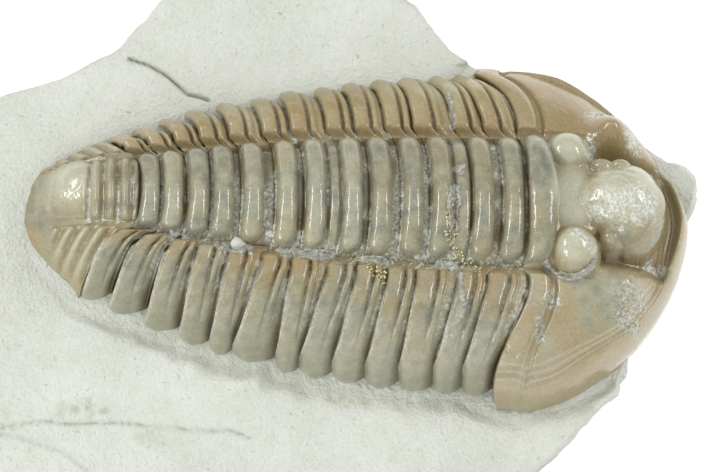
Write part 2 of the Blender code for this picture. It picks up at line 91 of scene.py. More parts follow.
FLAT_UP = Vector((0, math.sin(VIEW_ABOVE_SLAB), math.cos(VIEW_ABOVE_SLAB)))
BACK = Vector((0, -math.cos(VIEW_ABOVE_SLAB), math.sin(VIEW_ABOVE_SLAB)))
RIGHT = Vector((1, 0, 0)) * math.cos(VIEW_TURN) + FLAT_UP * math.sin(VIEW_TURN)
UP = FLAT_UP * math.cos(VIEW_TURN) - Vector((1, 0, 0)) * math.sin(VIEW_TURN)


def make_camera():
    lens = bpy.data.cameras.new("camera")
    lens.sensor_width = SENSOR_MM
    lens.lens = lens.sensor_width * CAMERA_AWAY / (PHOTO_WIDTH * PIXEL * MM)
    lens.clip_start = 0.01
    camera = bpy.data.objects.new("camera", lens)
    bpy.context.scene.collection.objects.link(camera)
    aside = (PHOTO_CENTRE[0] - BODY_PIXEL[0]) * PIXEL * MM
    above = (BODY_PIXEL[1] - PHOTO_CENTRE[1]) * PIXEL * MM
    aim = Vector((0, 0, BODY_HEIGHT * MM)) + RIGHT * aside + UP * above
    camera.matrix_world = Matrix((RIGHT, UP, BACK)).transposed().to_4x4()
    camera.location = aim + BACK * CAMERA_AWAY
    bpy.context.scene.camera = camera
    print(f"lens {lens.lens:.0f} mm")
    return aim


AIM = make_camera()

# %% [markdown]
# ## Light and floor
#
# The varnish shows two thin bright dashes on every ring, one on each flank.  They tell where
# the lamps stood: one long light on the left and one on the right, both rather low.  A third
# low one on the near left draws the bright lines along the near ribs.  A single lamp overhead
# would be simpler, but it would flatten the rings.  Two wide soft lights and a white
# surrounding keep the shadows thin, and the floor is plain and nearly white.

# %% Lamps, surrounding and floor
LAMP_AWAY = 0.35
SURROUNDING = 0.5
FLOOR_SIZE = 3.0
FLOOR_DROP = 0.0002
FLOOR_WHITE = 0.96
FLOOR_GLOW = 0.2
LAMPS = (
    # name, direction (right, up, towards the camera), width and length in metres, watts
    ("lamp_left", (-0.84, 0.34, 0.54), 0.06, 0.20, 0.46),
    ("lamp_right", (0.84, 0.34, 0.54), 0.06, 0.20, 0.42),
    ("lamp_left_near", (-0.75, -0.55, 0.60), 0.05, 0.20, 0.34),
    ("lamp_top", (0.0, 0.60, 0.80), 0.50, 0.30, 0.26),
    ("lamp_near", (0.0, -0.65, 0.75), 0.50, 0.30, 0.30),
)


def add_lamp(name, direction, size_x, size_y, watts):
    light = bpy.data.lights.new(name, "AREA")
    light.shape = "RECTANGLE"
    light.size = size_x
    light.size_y = size_y
    light.energy = watts
    lamp = bpy.data.objects.new(name, light)
    bpy.context.scene.collection.objects.link(lamp)
    towards = (RIGHT * direction[0] + UP * direction[1] + BACK * direction[2]).normalized()
    side = UP.cross(towards).normalized()
    lamp.matrix_world = Matrix((side, towards.cross(side), towards)).transposed().to_4x4()
    lamp.location = AIM + towards * LAMP_AWAY


def make_lights():
    for values in LAMPS:
        add_lamp(*values)
    world = bpy.data.worlds.new("surrounding")
    world.use_nodes = True
    world.node_tree.nodes["Background"].inputs["Color"].default_value = (1, 1, 1, 1)
    world.node_tree.nodes["Background"].inputs["Strength"].default_value = SURROUNDING
    bpy.context.scene.world = world
    bpy.context.scene.view_settings.view_transform = "Standard"


def make_floor():
    bpy.ops.mesh.primitive_plane_add(size=FLOOR_SIZE, location=(0, 0, -FLOOR_DROP))
    floor = bpy.context.object
    floor.name = "floor"
    paint = bpy.data.materials.new("floor")
    paint.use_nodes = True
    shader = paint.node_tree.nodes["Principled BSDF"]
    shader.inputs["Base Color"].default_value = (FLOOR_WHITE, FLOOR_WHITE, FLOOR_WHITE, 1)
    shader.inputs["Roughness"].default_value = 1.0
    shader.inputs["Specular IOR Level"].default_value = 0.0
    shader.inputs["Emission Color"].default_value = (1, 1, 1, 1)
    shader.inputs["Emission Strength"].default_value = FLOOR_GLOW
    floor.data.materials.append(paint)


make_lights()
make_floor()
print(len(LAMPS), "lamps with", round(sum(lamp[-1] for lamp in LAMPS), 2), "watts in all")

# %% [markdown]
# ## Small tools for shaping
#
# A fossil has no straight line in it, so every surface is a grid of points moved by a few
# soft curves.  `ease` is a step with soft ends, `dome` is the height of a round hill, and
# `grain` gives lumps of a chosen size that are random but the same every time.  numpy moves
# all points of a plate at once, which keeps this script quick.

# %% Curves and grain
HASH_STEPS = np.array([73856093, 19349663, 83492791])
HASH_TWIST = 1274126177
HASH_TOP = 0xFFFF
SEED_STEP = 31.7
TINY = 1e-9


def clamp(value):
    return np.clip(value, 0.0, 1.0)


def ease(value):
    value = clamp(value)
    return value * value * (3.0 - 2.0 * value)


def mix(first, second, share):
    return first + (second - first) * share


def dome(value):
    return np.sqrt(np.maximum(0.0, 1.0 - value * value))


def grain(points, size, seed):
    """Random values from 0 to 1 in lumps of this size; points are in millimetres."""
    spot = points / size + SEED_STEP * seed
    cell = np.floor(spot).astype(np.int64)
    share = ease(spot - cell)
    total = np.zeros(points.shape[:-1])
    for corner in range(8):
        step = np.array([corner & 1, corner >> 1 & 1, corner >> 2])
        key = ((cell + step) * HASH_STEPS).sum(-1)
        key = (key ^ (key >> 13)) * HASH_TWIST
        value = ((key >> 7) & HASH_TOP) / HASH_TOP
        total += value * np.prod(np.where(step, share, 1.0 - share), -1)
    return total


def rough(points, size, seed):
    """Grain of three sizes, each half as large and half as strong as the one before."""
    shares = [0.5 ** level for level in range(3)]
    layers = [grain(points, size * share, seed + level) * share for level, share in enumerate(shares)]
    return sum(layers) / sum(shares)


def away(points):
    """The outward direction at each point of a grid of points."""
    along = np.gradient(points, axis=0)
    across = np.gradient(points, axis=1)
    out = np.cross(across, along)
    out *= np.sign(out[..., 2:].mean())
    return out / np.maximum(np.linalg.norm(out, axis=-1, keepdims=True), TINY)


print("grain at two points:", grain(np.array([[0.2, 0.4, 0.6], [1.2, 0.4, 0.6]]), 1.0, 1).round(3))

# %% [markdown]
# ## How the animal lies
#
# The plates are shaped in the animal's own frame: x along the body towards the head, y
# across it, and z up from the two long furrows beside the axis.  The animal is rolled 14
# degrees in the rock, so its near flank is turned up to the viewer and the far one sinks into
# the slab.  It is also pressed a little askew, the far side towards the tail.

# %% From the animal's frame to the slab's
ROLL = math.radians(14)
SKEW_TAIL = 0.022
SKEW_HEAD = 0.06
TAIL_X = -22.5
FRONT_X = 22.45


def lay_down(x, y, z):
    skew = mix(SKEW_TAIL, SKEW_HEAD, clamp((x - TAIL_X) / (FRONT_X - TAIL_X)))
    world_y = y * math.cos(ROLL) + z * math.sin(ROLL)
    world_z = BODY_HEIGHT - y * math.sin(ROLL) + z * math.cos(ROLL)
    return np.stack(np.broadcast_arrays(x - skew * y, world_y, world_z), -1)


def seen_at(pixel_x, pixel_y, height):
    """Slab place, in millimetres, that the photograph shows at this pixel."""
    aside = pixel_x - BODY_PIXEL[0]
    down = pixel_y - BODY_PIXEL[1]
    x = (aside * math.cos(VIEW_TURN) + down * math.sin(VIEW_TURN)) * PIXEL
    rise = (aside * math.sin(VIEW_TURN) - down * math.cos(VIEW_TURN)) * PIXEL
    y = (rise - (height - BODY_HEIGHT) * math.cos(VIEW_ABOVE_SLAB)) / math.sin(VIEW_ABOVE_SLAB)
    return x, y


print("the head's front on the slab:", seen_at(690, 200, 12.0))

# %% [markdown]
# ## From a grid of points to a closed piece
#
# A plate could be a bare sheet, but the real one is solid stone.  So the rim of each grid is
# carried straight down to a flat foot inside the pocket.  Values that the finish needs later,
# such as how deep a point lies in a groove, are kept on the points as named marks.

# %% The piece maker
PIECE_BOTTOM = 7.3


def keep_marks(data, marks):
    for name, values in marks.items():
        mark = data.attributes.new(name, "FLOAT", "POINT")
        mark.data.foreach_set("value", np.asarray(values, np.float32).ravel())


def add_piece(name, points, faces, finish, marks):
    data = bpy.data.meshes.new(name)
    data.from_pydata((points * MM).tolist(), [], faces)
    shaped = bmesh.new()
    shaped.from_mesh(data)
    bmesh.ops.recalc_face_normals(shaped, faces=shaped.faces[:])
    shaped.to_mesh(data)
    shaped.free()
    keep_marks(data, marks)
    data.materials.append(finish)
    data.shade_smooth()
    piece = bpy.data.objects.new(name, data)
    bpy.context.scene.collection.objects.link(piece)
    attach(piece, "root")
    print(f"{name}: {len(points)} points")
    return piece


def grid_faces(rows, columns):
    index = np.arange(rows * columns).reshape(rows, columns)
    faces = np.stack([index[:-1, :-1], index[:-1, 1:], index[1:, 1:], index[1:, :-1]], -1)
    return index, faces.reshape(-1, 4).tolist()


def solid_from_sheet(name, sheet, finish, marks):
    """The sheet closed by a wall round its rim and a flat foot."""
    rows, columns = sheet.shape[:2]
    index, faces = grid_faces(rows, columns)
    rim = np.concatenate([index[0, :-1], index[:-1, -1], index[-1, :0:-1], index[:0:-1, 0]])
    top = sheet.reshape(-1, 3)
    foot = top[rim].copy()
    foot[:, 2] = PIECE_BOTTOM
    under = np.arange(len(rim)) + len(top)
    wall = np.stack([rim, np.roll(rim, -1), np.roll(under, -1), under], -1)
    faces += wall.tolist() + [under.tolist()]
    flat_marks = {key: values.ravel() for key, values in marks.items()}
    all_marks = {key: np.append(values, values[rim]) for key, values in flat_marks.items()}
    return add_piece(name, np.concatenate([top, foot]), faces, finish, all_marks)


print("a grid of 3 by 3 points has", len(grid_faces(3, 3)[1]), "faces")

# %% [markdown]
# ## The varnished shell
#
# The shell is calcite, tan on the flanks and olive grey on the rings.  The grooves and the gaps
# under the plates are painted dark brown, which is painted shade.  Many grooves are filled with
# rock grains or frosted with pale calcite here and there, and the near ribs carry painted
# highlights in pale lines.  A photograph mapped on would be quick, but it would bring its own
# light and shadows.  So the colour is mixed from noise and from the marks: the grooves' painted
# shade, fill, frost, olive, pale and rust.  The varnish is the shader's clear coat, with slow
# bumps of its own.

# %% Node helpers
def link_up(tree, kind, **values):
    """A node with its sockets set to numbers or joined to other nodes' sockets."""
    node = tree.nodes.new(kind)
    for name, value in values.items():
        name = name.replace("_", " ")
        if hasattr(node, name.replace(" ", "_")) and name[0].islower():
            setattr(node, name.replace(" ", "_"), value)
        elif isinstance(value, bpy.types.NodeSocket):
            tree.links.new(value, node.inputs[name])
        else:
            node.inputs[name].default_value = value
    return node


def noise(tree, place, size_mm, detail=3.0):
    """Cloudy values whose lumps are about this many millimetres across."""
    node = link_up(tree, "ShaderNodeTexNoise", Scale=1.0 / (size_mm * MM), Detail=detail, Vector=place)
    return node.outputs["Fac"]


def stretch(tree, value, low, high, first=0.0, last=1.0):
    """Values between low and high are spread from first to last, and the rest cut off."""
    node = tree.nodes.new("ShaderNodeMapRange")
    tree.links.new(value, node.inputs["Value"])
    for name, number in (("From Min", low), ("From Max", high), ("To Min", first), ("To Max", last)):
        node.inputs[name].default_value = number
    return node.outputs["Result"]


def sums(tree, operation, first, second):
    node = tree.nodes.new("ShaderNodeMath")
    node.operation = operation
    for socket, value in zip(node.inputs, (first, second)):
        if isinstance(value, bpy.types.NodeSocket):
            tree.links.new(value, socket)
        else:
            socket.default_value = value
    return node.outputs["Value"]


def blend_colours(tree, share, first, second):
    node = tree.nodes.new("ShaderNodeMix")
    node.data_type = "RGBA"
    for name, value in ((0, share), (6, first), (7, second)):
        if isinstance(value, bpy.types.NodeSocket):
            tree.links.new(value, node.inputs[name])
        elif name:
            node.inputs[name].default_value = (*value, 1.0)
        else:
            node.inputs[name].default_value = value
    return node.outputs[2]


def mark(tree, name):
    node = tree.nodes.new("ShaderNodeAttribute")
    node.attribute_name = name
    return node.outputs["Fac"]


def new_finish(name):
    finish = bpy.data.materials.new(name)
    finish.use_nodes = True
    tree = finish.node_tree
    place = tree.nodes.new("ShaderNodeTexCoord").outputs["Object"]
    return finish, tree, tree.nodes["Principled BSDF"], place


def raise_bumps(tree, shader, height, depth_mm, strength=1.0, layer="Normal"):
    bump = tree.nodes.new("ShaderNodeBump")
    bump.inputs["Distance"].default_value = depth_mm * MM
    bump.inputs["Strength"].default_value = strength
    tree.links.new(height, bump.inputs["Height"])
    tree.links.new(bump.outputs["Normal"], shader.inputs[layer])


# %% The shell's colours
TAN = (0.31, 0.238, 0.106)
TAN_LIGHT = (0.40, 0.342, 0.19)
RUST = (0.30, 0.205, 0.09)
OLIVE = (0.18, 0.182, 0.135)
OLIVE_LIGHT = (0.34, 0.325, 0.21)
PALE = (0.49, 0.49, 0.36)
# dark brown of the painted shade in the grooves and in the gaps under the plates
GROOVE_SHADE_BROWN = (0.105, 0.074, 0.028)
FROST = (0.68, 0.69, 0.62)
FROST_DARK = (0.42, 0.43, 0.35)
FILL = (0.17, 0.165, 0.11)
FILL_LIGHT = (0.42, 0.425, 0.34)


def make_shell_finish():
    finish, tree, shader, place = new_finish("varnished_shell")
    clouds = noise(tree, place, 3.2)
    mottle = noise(tree, place, 0.9)
    fine = noise(tree, place, 0.16, 4.0)
    tan = blend_colours(tree, stretch(tree, clouds, 0.35, 0.68), TAN, TAN_LIGHT)
    olive = blend_colours(tree, stretch(tree, mottle, 0.32, 0.7), OLIVE, OLIVE_LIGHT)
    tan = blend_colours(tree, mark(tree, "rust"), tan, RUST)
    wander = sums(tree, "ADD", mark(tree, "olive"), stretch(tree, clouds, 0.3, 0.7, -0.3, 0.3))
    colour = blend_colours(tree, stretch(tree, wander, 0.15, 0.85), tan, olive)
    colour = blend_colours(tree, mark(tree, "pale"), colour, PALE)
    shade = stretch(tree, fine, 0.25, 0.75, 0.86, 1.12)
    tinted = tree.nodes.new("ShaderNodeVectorMath")
    tinted.operation = "SCALE"
    tree.links.new(colour, tinted.inputs[0])
    tree.links.new(shade, tinted.inputs["Scale"])
    # painted shade: this mark darkens the grooves and the gaps under the plates to dark brown
    colour = blend_colours(tree, mark(tree, "groove_shade"), tinted.outputs[0], GROOVE_SHADE_BROWN)
    sparkle = noise(tree, place, 0.2, 3.0)
    filling = blend_colours(tree, stretch(tree, sparkle, 0.34, 0.68), FILL, FILL_LIGHT)
    filled = sums(tree, "ADD", mark(tree, "fill"), stretch(tree, fine, 0.3, 0.7, -0.25, 0.25))
    colour = blend_colours(tree, stretch(tree, filled, 0.2, 0.8), colour, filling)
    # the frost mark is pale calcite frost, and on the near ribs it also carries painted highlights
    crystals = blend_colours(tree, stretch(tree, sparkle, 0.36, 0.64), FROST_DARK, FROST)
    torn = sums(tree, "ADD", mark(tree, "frost"), stretch(tree, sparkle, 0.3, 0.7, -0.25, 0.25))
    frosted = stretch(tree, torn, 0.1, 1.0)
    colour = blend_colours(tree, frosted, colour, crystals)
    tree.links.new(colour, shader.inputs["Base Color"])
    tree.links.new(stretch(tree, frosted, 0.0, 1.0, 0.36, 0.7), shader.inputs["Roughness"])
    shader.inputs["Specular IOR Level"].default_value = 0.25
    shader.inputs["Coat Weight"].default_value = 0.8
    shader.inputs["Coat IOR"].default_value = 1.62
    shader.inputs["Coat Roughness"].default_value = 0.09
    height = sums(tree, "ADD", fine, sums(tree, "MULTIPLY", mottle, 0.6))
    raise_bumps(tree, shader, height, 0.02, 0.7)
    raise_bumps(tree, shader, noise(tree, place, 0.4, 2.5), 0.045, 0.7, "Coat Normal")
    return finish


SHELL = make_shell_finish()
print("nodes in the shell's finish:", len(SHELL.node_tree.nodes))

# %% [markdown]
# ## One cross-section of the thorax
#
# All thirteen segments follow one rule: an arched ring on the axis, a furrow on each side, a
# flat inner flank, and then the flank bending down and sweeping back to its tip.  Curves drawn
# by hand would need a set for each segment.  Here a few values that change from head to tail
# set each one, so one function shapes them all.

# %% The rule for a segment
# middle of each ring along the body and sweep of its near rib, from the head to the tail
RING_X = (9.99, 7.98, 5.24, 3.34, 1.27, -0.63, -3.04, -4.94, -7.16, -9.13, -10.75, -12.44, -13.99)
RIB_SWEEP = (1.9, 1.8, 1.3, 1.6, 1.7, 2.0, 1.1, 2.1, 1.4, 1.45, 2.2, 3.0, 3.35)
RING_HALF = 0.69
RING_BEHIND = 0.85
RIB_BEHIND = 1.27
RING_RISE = 0.72
FLANK_DROP = 6.9
AXIS_SHARE = 0.38
FAR_REACH = 0.74
FURROW_SINK = 0.28
AXIS_HALF = 4.65
AXIS_TAPER = 0.485
CREST_SHARE = 0.56
HALF_WIDTH = 11.1
WIDTH_TAPER = 0.444

Form = namedtuple(
    "Form",
    "ring_x sweep far_sweep near_behind far_behind bow "
    "axis_half half_width crest flat power straight",
)


def far_sweep_of(ring_x, straight):
    """How far a rib's far end lies behind its root: much in front, little in the middle."""
    return mix(1.25, 1.8, straight) + 1.5 * float(ease((ring_x - 4.0) / 7.0))


def body_form(ring_x, sweep, near_behind=RIB_BEHIND, far_behind=RIB_BEHIND):
    rear = float(clamp((10.0 - ring_x) / 25.0))
    axis_half = AXIS_HALF * (1.0 - AXIS_TAPER * max(0.0, (10.0 - ring_x) / 25.6) ** 2.1)
    tip_x = ring_x - RIB_BEHIND - sweep
    straight = float(ease((rear - 0.55) / 0.45))
    return Form(
        ring_x=ring_x,
        sweep=sweep,
        far_sweep=far_sweep_of(ring_x, straight),
        near_behind=near_behind,
        far_behind=far_behind,
        bow=mix(0.66, 0.3, rear),
        axis_half=axis_half,
        half_width=HALF_WIDTH * (1.0 - WIDTH_TAPER * max(0.0, (8.0 - tip_x) / 25.3) ** 2.2),
        crest=CREST_SHARE * axis_half,
        flat=mix(0.35, 0.24, rear),
        power=mix(2.0, 1.5, float(ease(rear))),
        straight=straight,
    )


def reach_of(side):
    return (np.abs(side) - AXIS_SHARE) / (1.0 - AXIS_SHARE)


def rear_edge(form, side):
    """x of a segment's rear edge; side runs from -1 at the near tip to 1 at the far one."""
    turn = 0.5 * math.pi * np.clip(side / AXIS_SHARE, -1.0, 1.0)
    on_axis = form.ring_x - RING_BEHIND + form.bow * np.cos(turn)
    reach = clamp(reach_of(side))
    late = ease((reach - 0.15) / 0.85)
    early = 1.0 - (1.0 - reach) ** 1.4
    behind = np.where(side < 0.0, form.near_behind, form.far_behind)
    step = mix(RING_BEHIND, behind, ease(reach / 0.12))
    near_sweep = form.sweep * mix(late, early, form.straight)
    far_sweep = form.far_sweep * clamp(reach / FAR_REACH) ** mix(2.6, 1.6, form.straight)
    on_flank = form.ring_x - step - np.where(side < 0.0, near_sweep, far_sweep)
    return np.where(np.abs(side) <= AXIS_SHARE, on_axis, on_flank)


def flank_curve(form, reach):
    """y and z of the bare flank and its outward direction."""
    fulcrum = mix(form.axis_half, form.half_width, form.flat)
    width = form.half_width - fulcrum
    turn = 0.5 * math.pi * clamp((reach - form.flat) / (1.0 - form.flat))
    bend = 2.0 / form.power
    sine = np.maximum(np.sin(turn), 1e-4)
    cosine = np.maximum(np.cos(turn), 1e-4)
    out = sine ** (2.0 - bend) / width
    up = cosine ** (2.0 - bend) / FLANK_DROP
    length = np.hypot(out, up)
    level = reach < form.flat
    y = np.where(level, mix(form.axis_half, fulcrum, reach / form.flat), fulcrum + width * sine ** bend)
    z = np.where(level, 0.0, -FLANK_DROP * (1.0 - cosine ** bend))
    return y, z, np.where(level, 0.0, out / length), np.where(level, 1.0, up / length)


LAST = body_form(RING_X[-1], RIB_SWEEP[-1])
print("half width in front and behind:", HALF_WIDTH, round(LAST.half_width, 2))

# %% [markdown]
# ## Rings and ribs
#
# Each ring is a fat rounded bar with swollen ends, and the floor between two rings lies about
# 0.7 mm lower.  Each rib has a broad rear band, a furrow, a thin front band, and a facet that
# dips under the plate in front, like roof tiles.  The front of every plate therefore runs on a
# little under its neighbour, and no gap shows.  Rings and ribs could be modelled one by one,
# but thirteen times the same rule keeps them kin, as they are on the animal.

# %% Relief of a ring
def bar(value):
    """Cross-section of a round bar that lies on a floor."""
    return np.maximum(0.0, 1.0 - np.abs(value) ** 2.3) ** 0.6


def ring_relief(form, x, turn):
    """Height of the ring over the groove floor, from 0 to 1."""
    end = clamp((np.abs(np.sin(turn)) - 0.82) / 0.155)
    half = RING_HALF * (1.0 + 0.1 * ease(np.abs(turn) / 1.2)) * np.maximum(dome(end), 0.02)
    middle = form.ring_x + form.bow * np.cos(turn)
    return bar((x - middle) / half) * dome(end) ** 0.5


print("half the section of a ring:", bar(np.linspace(0.0, 1.0, 5)).round(2))

# %% Relief of a rib
BAND_RISE = 0.38
FRONT_BAND_RISE = 0.24
FRONT_BAND_HALF = 0.24
BAND_FURROW = 0.2
EDGE_ROLL = 0.2
EDGE_DROP = 0.26
FRONT_DROP = 0.3
TIP_LIFT = 0.4
TIP_SINK = 0.32
TIP_SWELL = 0.12


def rib_relief(reach, ahead_of_edge, pitch, side):
    """Bands and furrow of a rib; ahead_of_edge is the distance from the plate's rear edge."""
    outer = ease((reach - 0.22) / 0.6)
    band = 1.12 * np.clip(pitch / 2.2, 1.0, 1.25)
    inner = BAND_RISE * dome(np.clip((ahead_of_edge - 0.5 * band) / (0.5 * band), -1.0, 1.0)) ** 0.8
    inner -= BAND_FURROW * np.exp(-((ahead_of_edge - band - 0.08) / 0.11) ** 2)
    inner += FRONT_BAND_RISE * dome(np.clip((ahead_of_edge - band - 0.38) / FRONT_BAND_HALF, -1.0, 1.0))
    share = clamp(ahead_of_edge / pitch)
    tip = mix(TIP_LIFT, -TIP_SINK, share ** 1.25) * np.where(side < 0.0, 1.0, 0.5)
    tip = tip + TIP_SWELL * dome(2.0 * share - 1.0)
    height = mix(inner, tip, outer)
    height -= EDGE_DROP * (1.0 - clamp(ahead_of_edge / EDGE_ROLL)) ** 2
    height -= FRONT_DROP * (1.0 - outer) * (1.0 - clamp((pitch - ahead_of_edge) / 0.25)) ** 2
    return height


print("section of a rib at its root:", rib_relief(0.0, np.linspace(0.0, 2.2, 6), 2.2, -1.0).round(2))

# %% The whole back of a segment
TUCK = 0.14
PIT_SIDE = 0.27
PIT_HALF = 0.035
PIT_DEPTH = 0.3
REAR_LIP = 0.12
FRONT_LIP = 0.16
HALF_RING_AHEAD = 1.36
HALF_RING_HALF = 0.52


def segment_surface(form, ahead, side, along):
    """x, y, z of a segment's back in the animal's frame, and its relief for the marks."""
    rear = rear_edge(form, side)
    pitch = rear_edge(ahead, side) - rear
    x = rear + (pitch + TUCK) * along
    turn = 0.5 * math.pi * np.clip(side / AXIS_SHARE, -1.0, 1.0)
    ring = ring_relief(form, x, turn)
    off_half_ring = x - form.ring_x - form.bow * np.cos(turn) - HALF_RING_AHEAD
    half_ring = bar(off_half_ring / HALF_RING_HALF) * dome(turn / 1.45)
    ring = np.maximum(ring, 0.5 * ease((pitch - 2.15) / 0.35) * half_ring)
    lower = REAR_LIP * (1.0 - clamp((x - rear) / 0.15)) ** 2
    lower = lower + FRONT_LIP * (1.0 - clamp((pitch + rear - x) / 0.2)) ** 2
    lower = lower + PIT_DEPTH * (1.0 - ring) * np.exp(-((side - PIT_SIDE) / PIT_HALF) ** 2)
    core = (form.crest - RING_RISE) * np.maximum(np.cos(turn), 0.0) ** 1.2
    axis_z = core + RING_RISE * ring - FURROW_SINK - lower * np.cos(turn)
    reach = clamp(reach_of(side))
    corner = 0.085 * (1.0 - clamp(along / 0.42)) ** 2 + 0.03 * clamp((along - 0.62) / 0.38) ** 2
    tip = np.where(side < 0.0, ease((reach - 0.62) / 0.38), 0.7 * ease((reach - 0.45) / 0.29))
    flank_y, flank_z, out, up = flank_curve(form, reach)
    rib = rib_relief(reach, x - rear, pitch, side)
    start = ease(reach / 0.13)
    lift = rib * start - FURROW_SINK * (1.0 - start)
    on_axis = np.abs(side) <= AXIS_SHARE
    sideways = lift * out * (1.0 - 0.75 * ease((reach - 0.72) / 0.24))
    flank_y = (flank_y + sideways) * (1.0 - corner * tip)
    y = np.where(on_axis, form.axis_half * np.sin(turn), np.sign(side) * flank_y)
    z = np.where(on_axis, axis_z, flank_z + lift * up)
    return x, y, z, np.where(on_axis, ring, rib)


FRONT_PAIR = [body_form(RING_X[number], RIB_SWEEP[number]) for number in (1, 0)]
MIDDLE_LINE = segment_surface(*FRONT_PAIR, np.zeros(3), np.array([0.2, 0.4, 0.6]))
print("height of the second segment on its middle line:", MIDDLE_LINE[2].round(2))

# %% [markdown]
# ## The marks on a segment
#
# Rings and rib tips are olive grey, the rest is tan.  The low places get painted shade in dark
# brown: the floors between the rings, the furrows and pits, and the front of each near tip
# where it dips under the plate in front.  The near ribs also get painted highlights: a pale
# line along each rear edge and pale glints in their low furrows.  Many grooves are half filled
# with calcite grains.  They could be painted by hand, but which ones are filled is left to
# large lumps of noise, because no two grooves look the same.

# %% Marks of a segment
RING_PALE = (0.05, 0.0, 0.0, 0.0, 0.05, 0.3, 0.3, 0.25, 0.2, 0.05, 0.1, 0.3, 0.15)
NEAR_HOLLOW = -0.14
RIM_HIGHLIGHT_WIDTH = 0.085


def segment_marks(sheet, relief, side, number):
    on_axis = np.abs(side) <= AXIS_SHARE
    reach = clamp(reach_of(side))
    near = (side < 0.0) * (1.0 - on_axis)
    low = np.where(on_axis, 1.0 - ease(relief / 0.4), ease((0.02 - relief) / 0.26) * (reach < 0.5))
    filled = ease((rough(sheet, 1.8, 7) - 0.36) / 0.2)
    pit = np.exp(-((side - PIT_SIDE) / 0.06) ** 2)
    pit = pit + np.exp(-((side - NEAR_HOLLOW) / 0.07) ** 2) * (1.0 - filled)
    fill = low * clamp(filled - 0.9 * pit) * mix(1.0, 0.7, ease((reach - 0.2) / 0.4))
    tips = ease((reach - 0.42) / 0.35) * near
    # painted shade on the front of each near tip, where it dips under the plate in front
    shade = ease((0.1 - relief) / 0.35) * tips * 0.85
    # painted shade in dark brown in the low places: floors between rings, furrows and pits
    groove_shade = np.maximum(low * (1.0 - 0.7 * fill) * mix(0.6, 1.0, clamp(pit)), shade)
    olive = np.maximum(on_axis * 0.82, near * mix(0.2, 0.8, ease(reach / 0.6)))
    pale = on_axis * RING_PALE[number - 1] * ease((relief - 0.55) / 0.3)
    pale = np.maximum(pale, near * 0.35 * ease((reach - 0.4) / 0.3))
    rust = (1.0 - on_axis) * (1.0 - ease((reach - 0.05) / 0.4)) * 0.6
    frost = fill * ease((rough(sheet, 0.5, 17) - 0.56) / 0.12) * 0.8
    # painted glints with whitish grit: pale lines in the low furrows of the inner near ribs
    grit_and_glints = near * ease((0.06 - relief) / 0.2) * ease((0.7 - reach) / 0.2)
    frost = np.maximum(frost, 0.75 * grit_and_glints * ease((rough(sheet, 0.6, 19) - 0.42) / 0.12))
    return {"groove_shade": groove_shade, "fill": fill, "frost": frost, "olive": olive, "pale": pale, "rust": rust}


def rim_highlight(side, along, sheet):
    """Painted highlight: a thin pale line along the rear edge of the near ribs."""
    reach = clamp(reach_of(side))
    rim = (side < 0.0) * (1.0 - ease(along / RIM_HIGHLIGHT_WIDTH)) * ease((reach - 0.22) / 0.25)
    return rim * mix(0.4, 1.0, grain(sheet, 0.8, 13))


# %% Build of the thirteen segments
NEAR_COLUMNS = 96
AXIS_COLUMNS = 92
FAR_COLUMNS = 60
SEGMENT_ROWS = 56
SOFT_DEPTH = 0.05
SHARP_DEPTH = 0.012
CRYSTAL_DEPTH = 0.2
HEAD_RING_X = 11.75
HEAD_SWEEP = 2.5
HEAD_BEHIND_NEAR = 0.35
HEAD_BEHIND_FAR = 0.8


def side_values():
    near = np.linspace(-1.0, -AXIS_SHARE, NEAR_COLUMNS, endpoint=False)
    axis = np.linspace(-AXIS_SHARE, AXIS_SHARE, AXIS_COLUMNS)
    far = np.linspace(AXIS_SHARE, mix(AXIS_SHARE, 1.0, FAR_REACH), FAR_COLUMNS + 1)[1:]
    return np.concatenate([near, axis, far])


def roughened(sheet, frost, seed):
    """Fine unevenness of the shell, and real crystals where it is frosted."""
    out = away(sheet)
    soft = (rough(sheet, 0.9, seed) - 0.5) * SOFT_DEPTH
    sharp = (rough(sheet, 0.2, seed + 5) - 0.4) * (SHARP_DEPTH + CRYSTAL_DEPTH * frost)
    return sheet + out * (soft + sharp)[..., None]


def make_segment(number, form, ahead):
    even = np.linspace(0.0, 1.0, SEGMENT_ROWS)
    along = mix(even, 0.5 - 0.5 * np.cos(math.pi * even), 0.5)
    side, along = np.meshgrid(side_values(), along)
    x, y, z, relief = segment_surface(form, ahead, side, along)
    sheet = lay_down(x, y, z)
    marks = segment_marks(sheet, relief, side, number)
    sheet = roughened(sheet, marks["fill"], number)
    # the painted highlight along the near ribs' rear edges is carried in the frost mark
    marks["frost"] = np.maximum(marks["frost"], rim_highlight(side, along, sheet))
    name = f"thoracic_segment_{number:02d}"
    piece = solid_from_sheet(f"{name}_shell", sheet, SHELL, marks)
    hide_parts(name)
    return piece


HEAD_FORM = body_form(HEAD_RING_X, HEAD_SWEEP, HEAD_BEHIND_NEAR, HEAD_BEHIND_FAR)
FORMS = [HEAD_FORM] + [body_form(x, sweep) for x, sweep in zip(RING_X, RIB_SWEEP)]
for number in range(1, len(FORMS)):
    make_segment(number, FORMS[number], FORMS[number - 1])

# %% [markdown]
# ## The head shield
#
# The head is one plate.  Its middle carries the glabella, a swollen lobe that narrows
# backwards to a neck with a round lobe on each side, and behind the neck lies one more ring.
# Around it the two cheeks bulge, each with the stump of an eye, and a rolled border runs
# round the front behind a deep furrow.  It could be sculpted freely, but here every lobe is
# one line of numbers that can be moved alone: the lobes are round hills, and the highest hill
# wins at each point.  Where two hills meet, a furrow forms by itself, as on the fossil, and
# `meld` rounds its corner a little.

# %% Outline of the head
HEAD_MID_X = 11.0
HEAD_HALF = 12.2
HEAD_FAR_HALF = 10.9
HEAD_FAR_LEVEL = 0.97
HEAD_POWER = 1.65
NOWHERE = -99.0


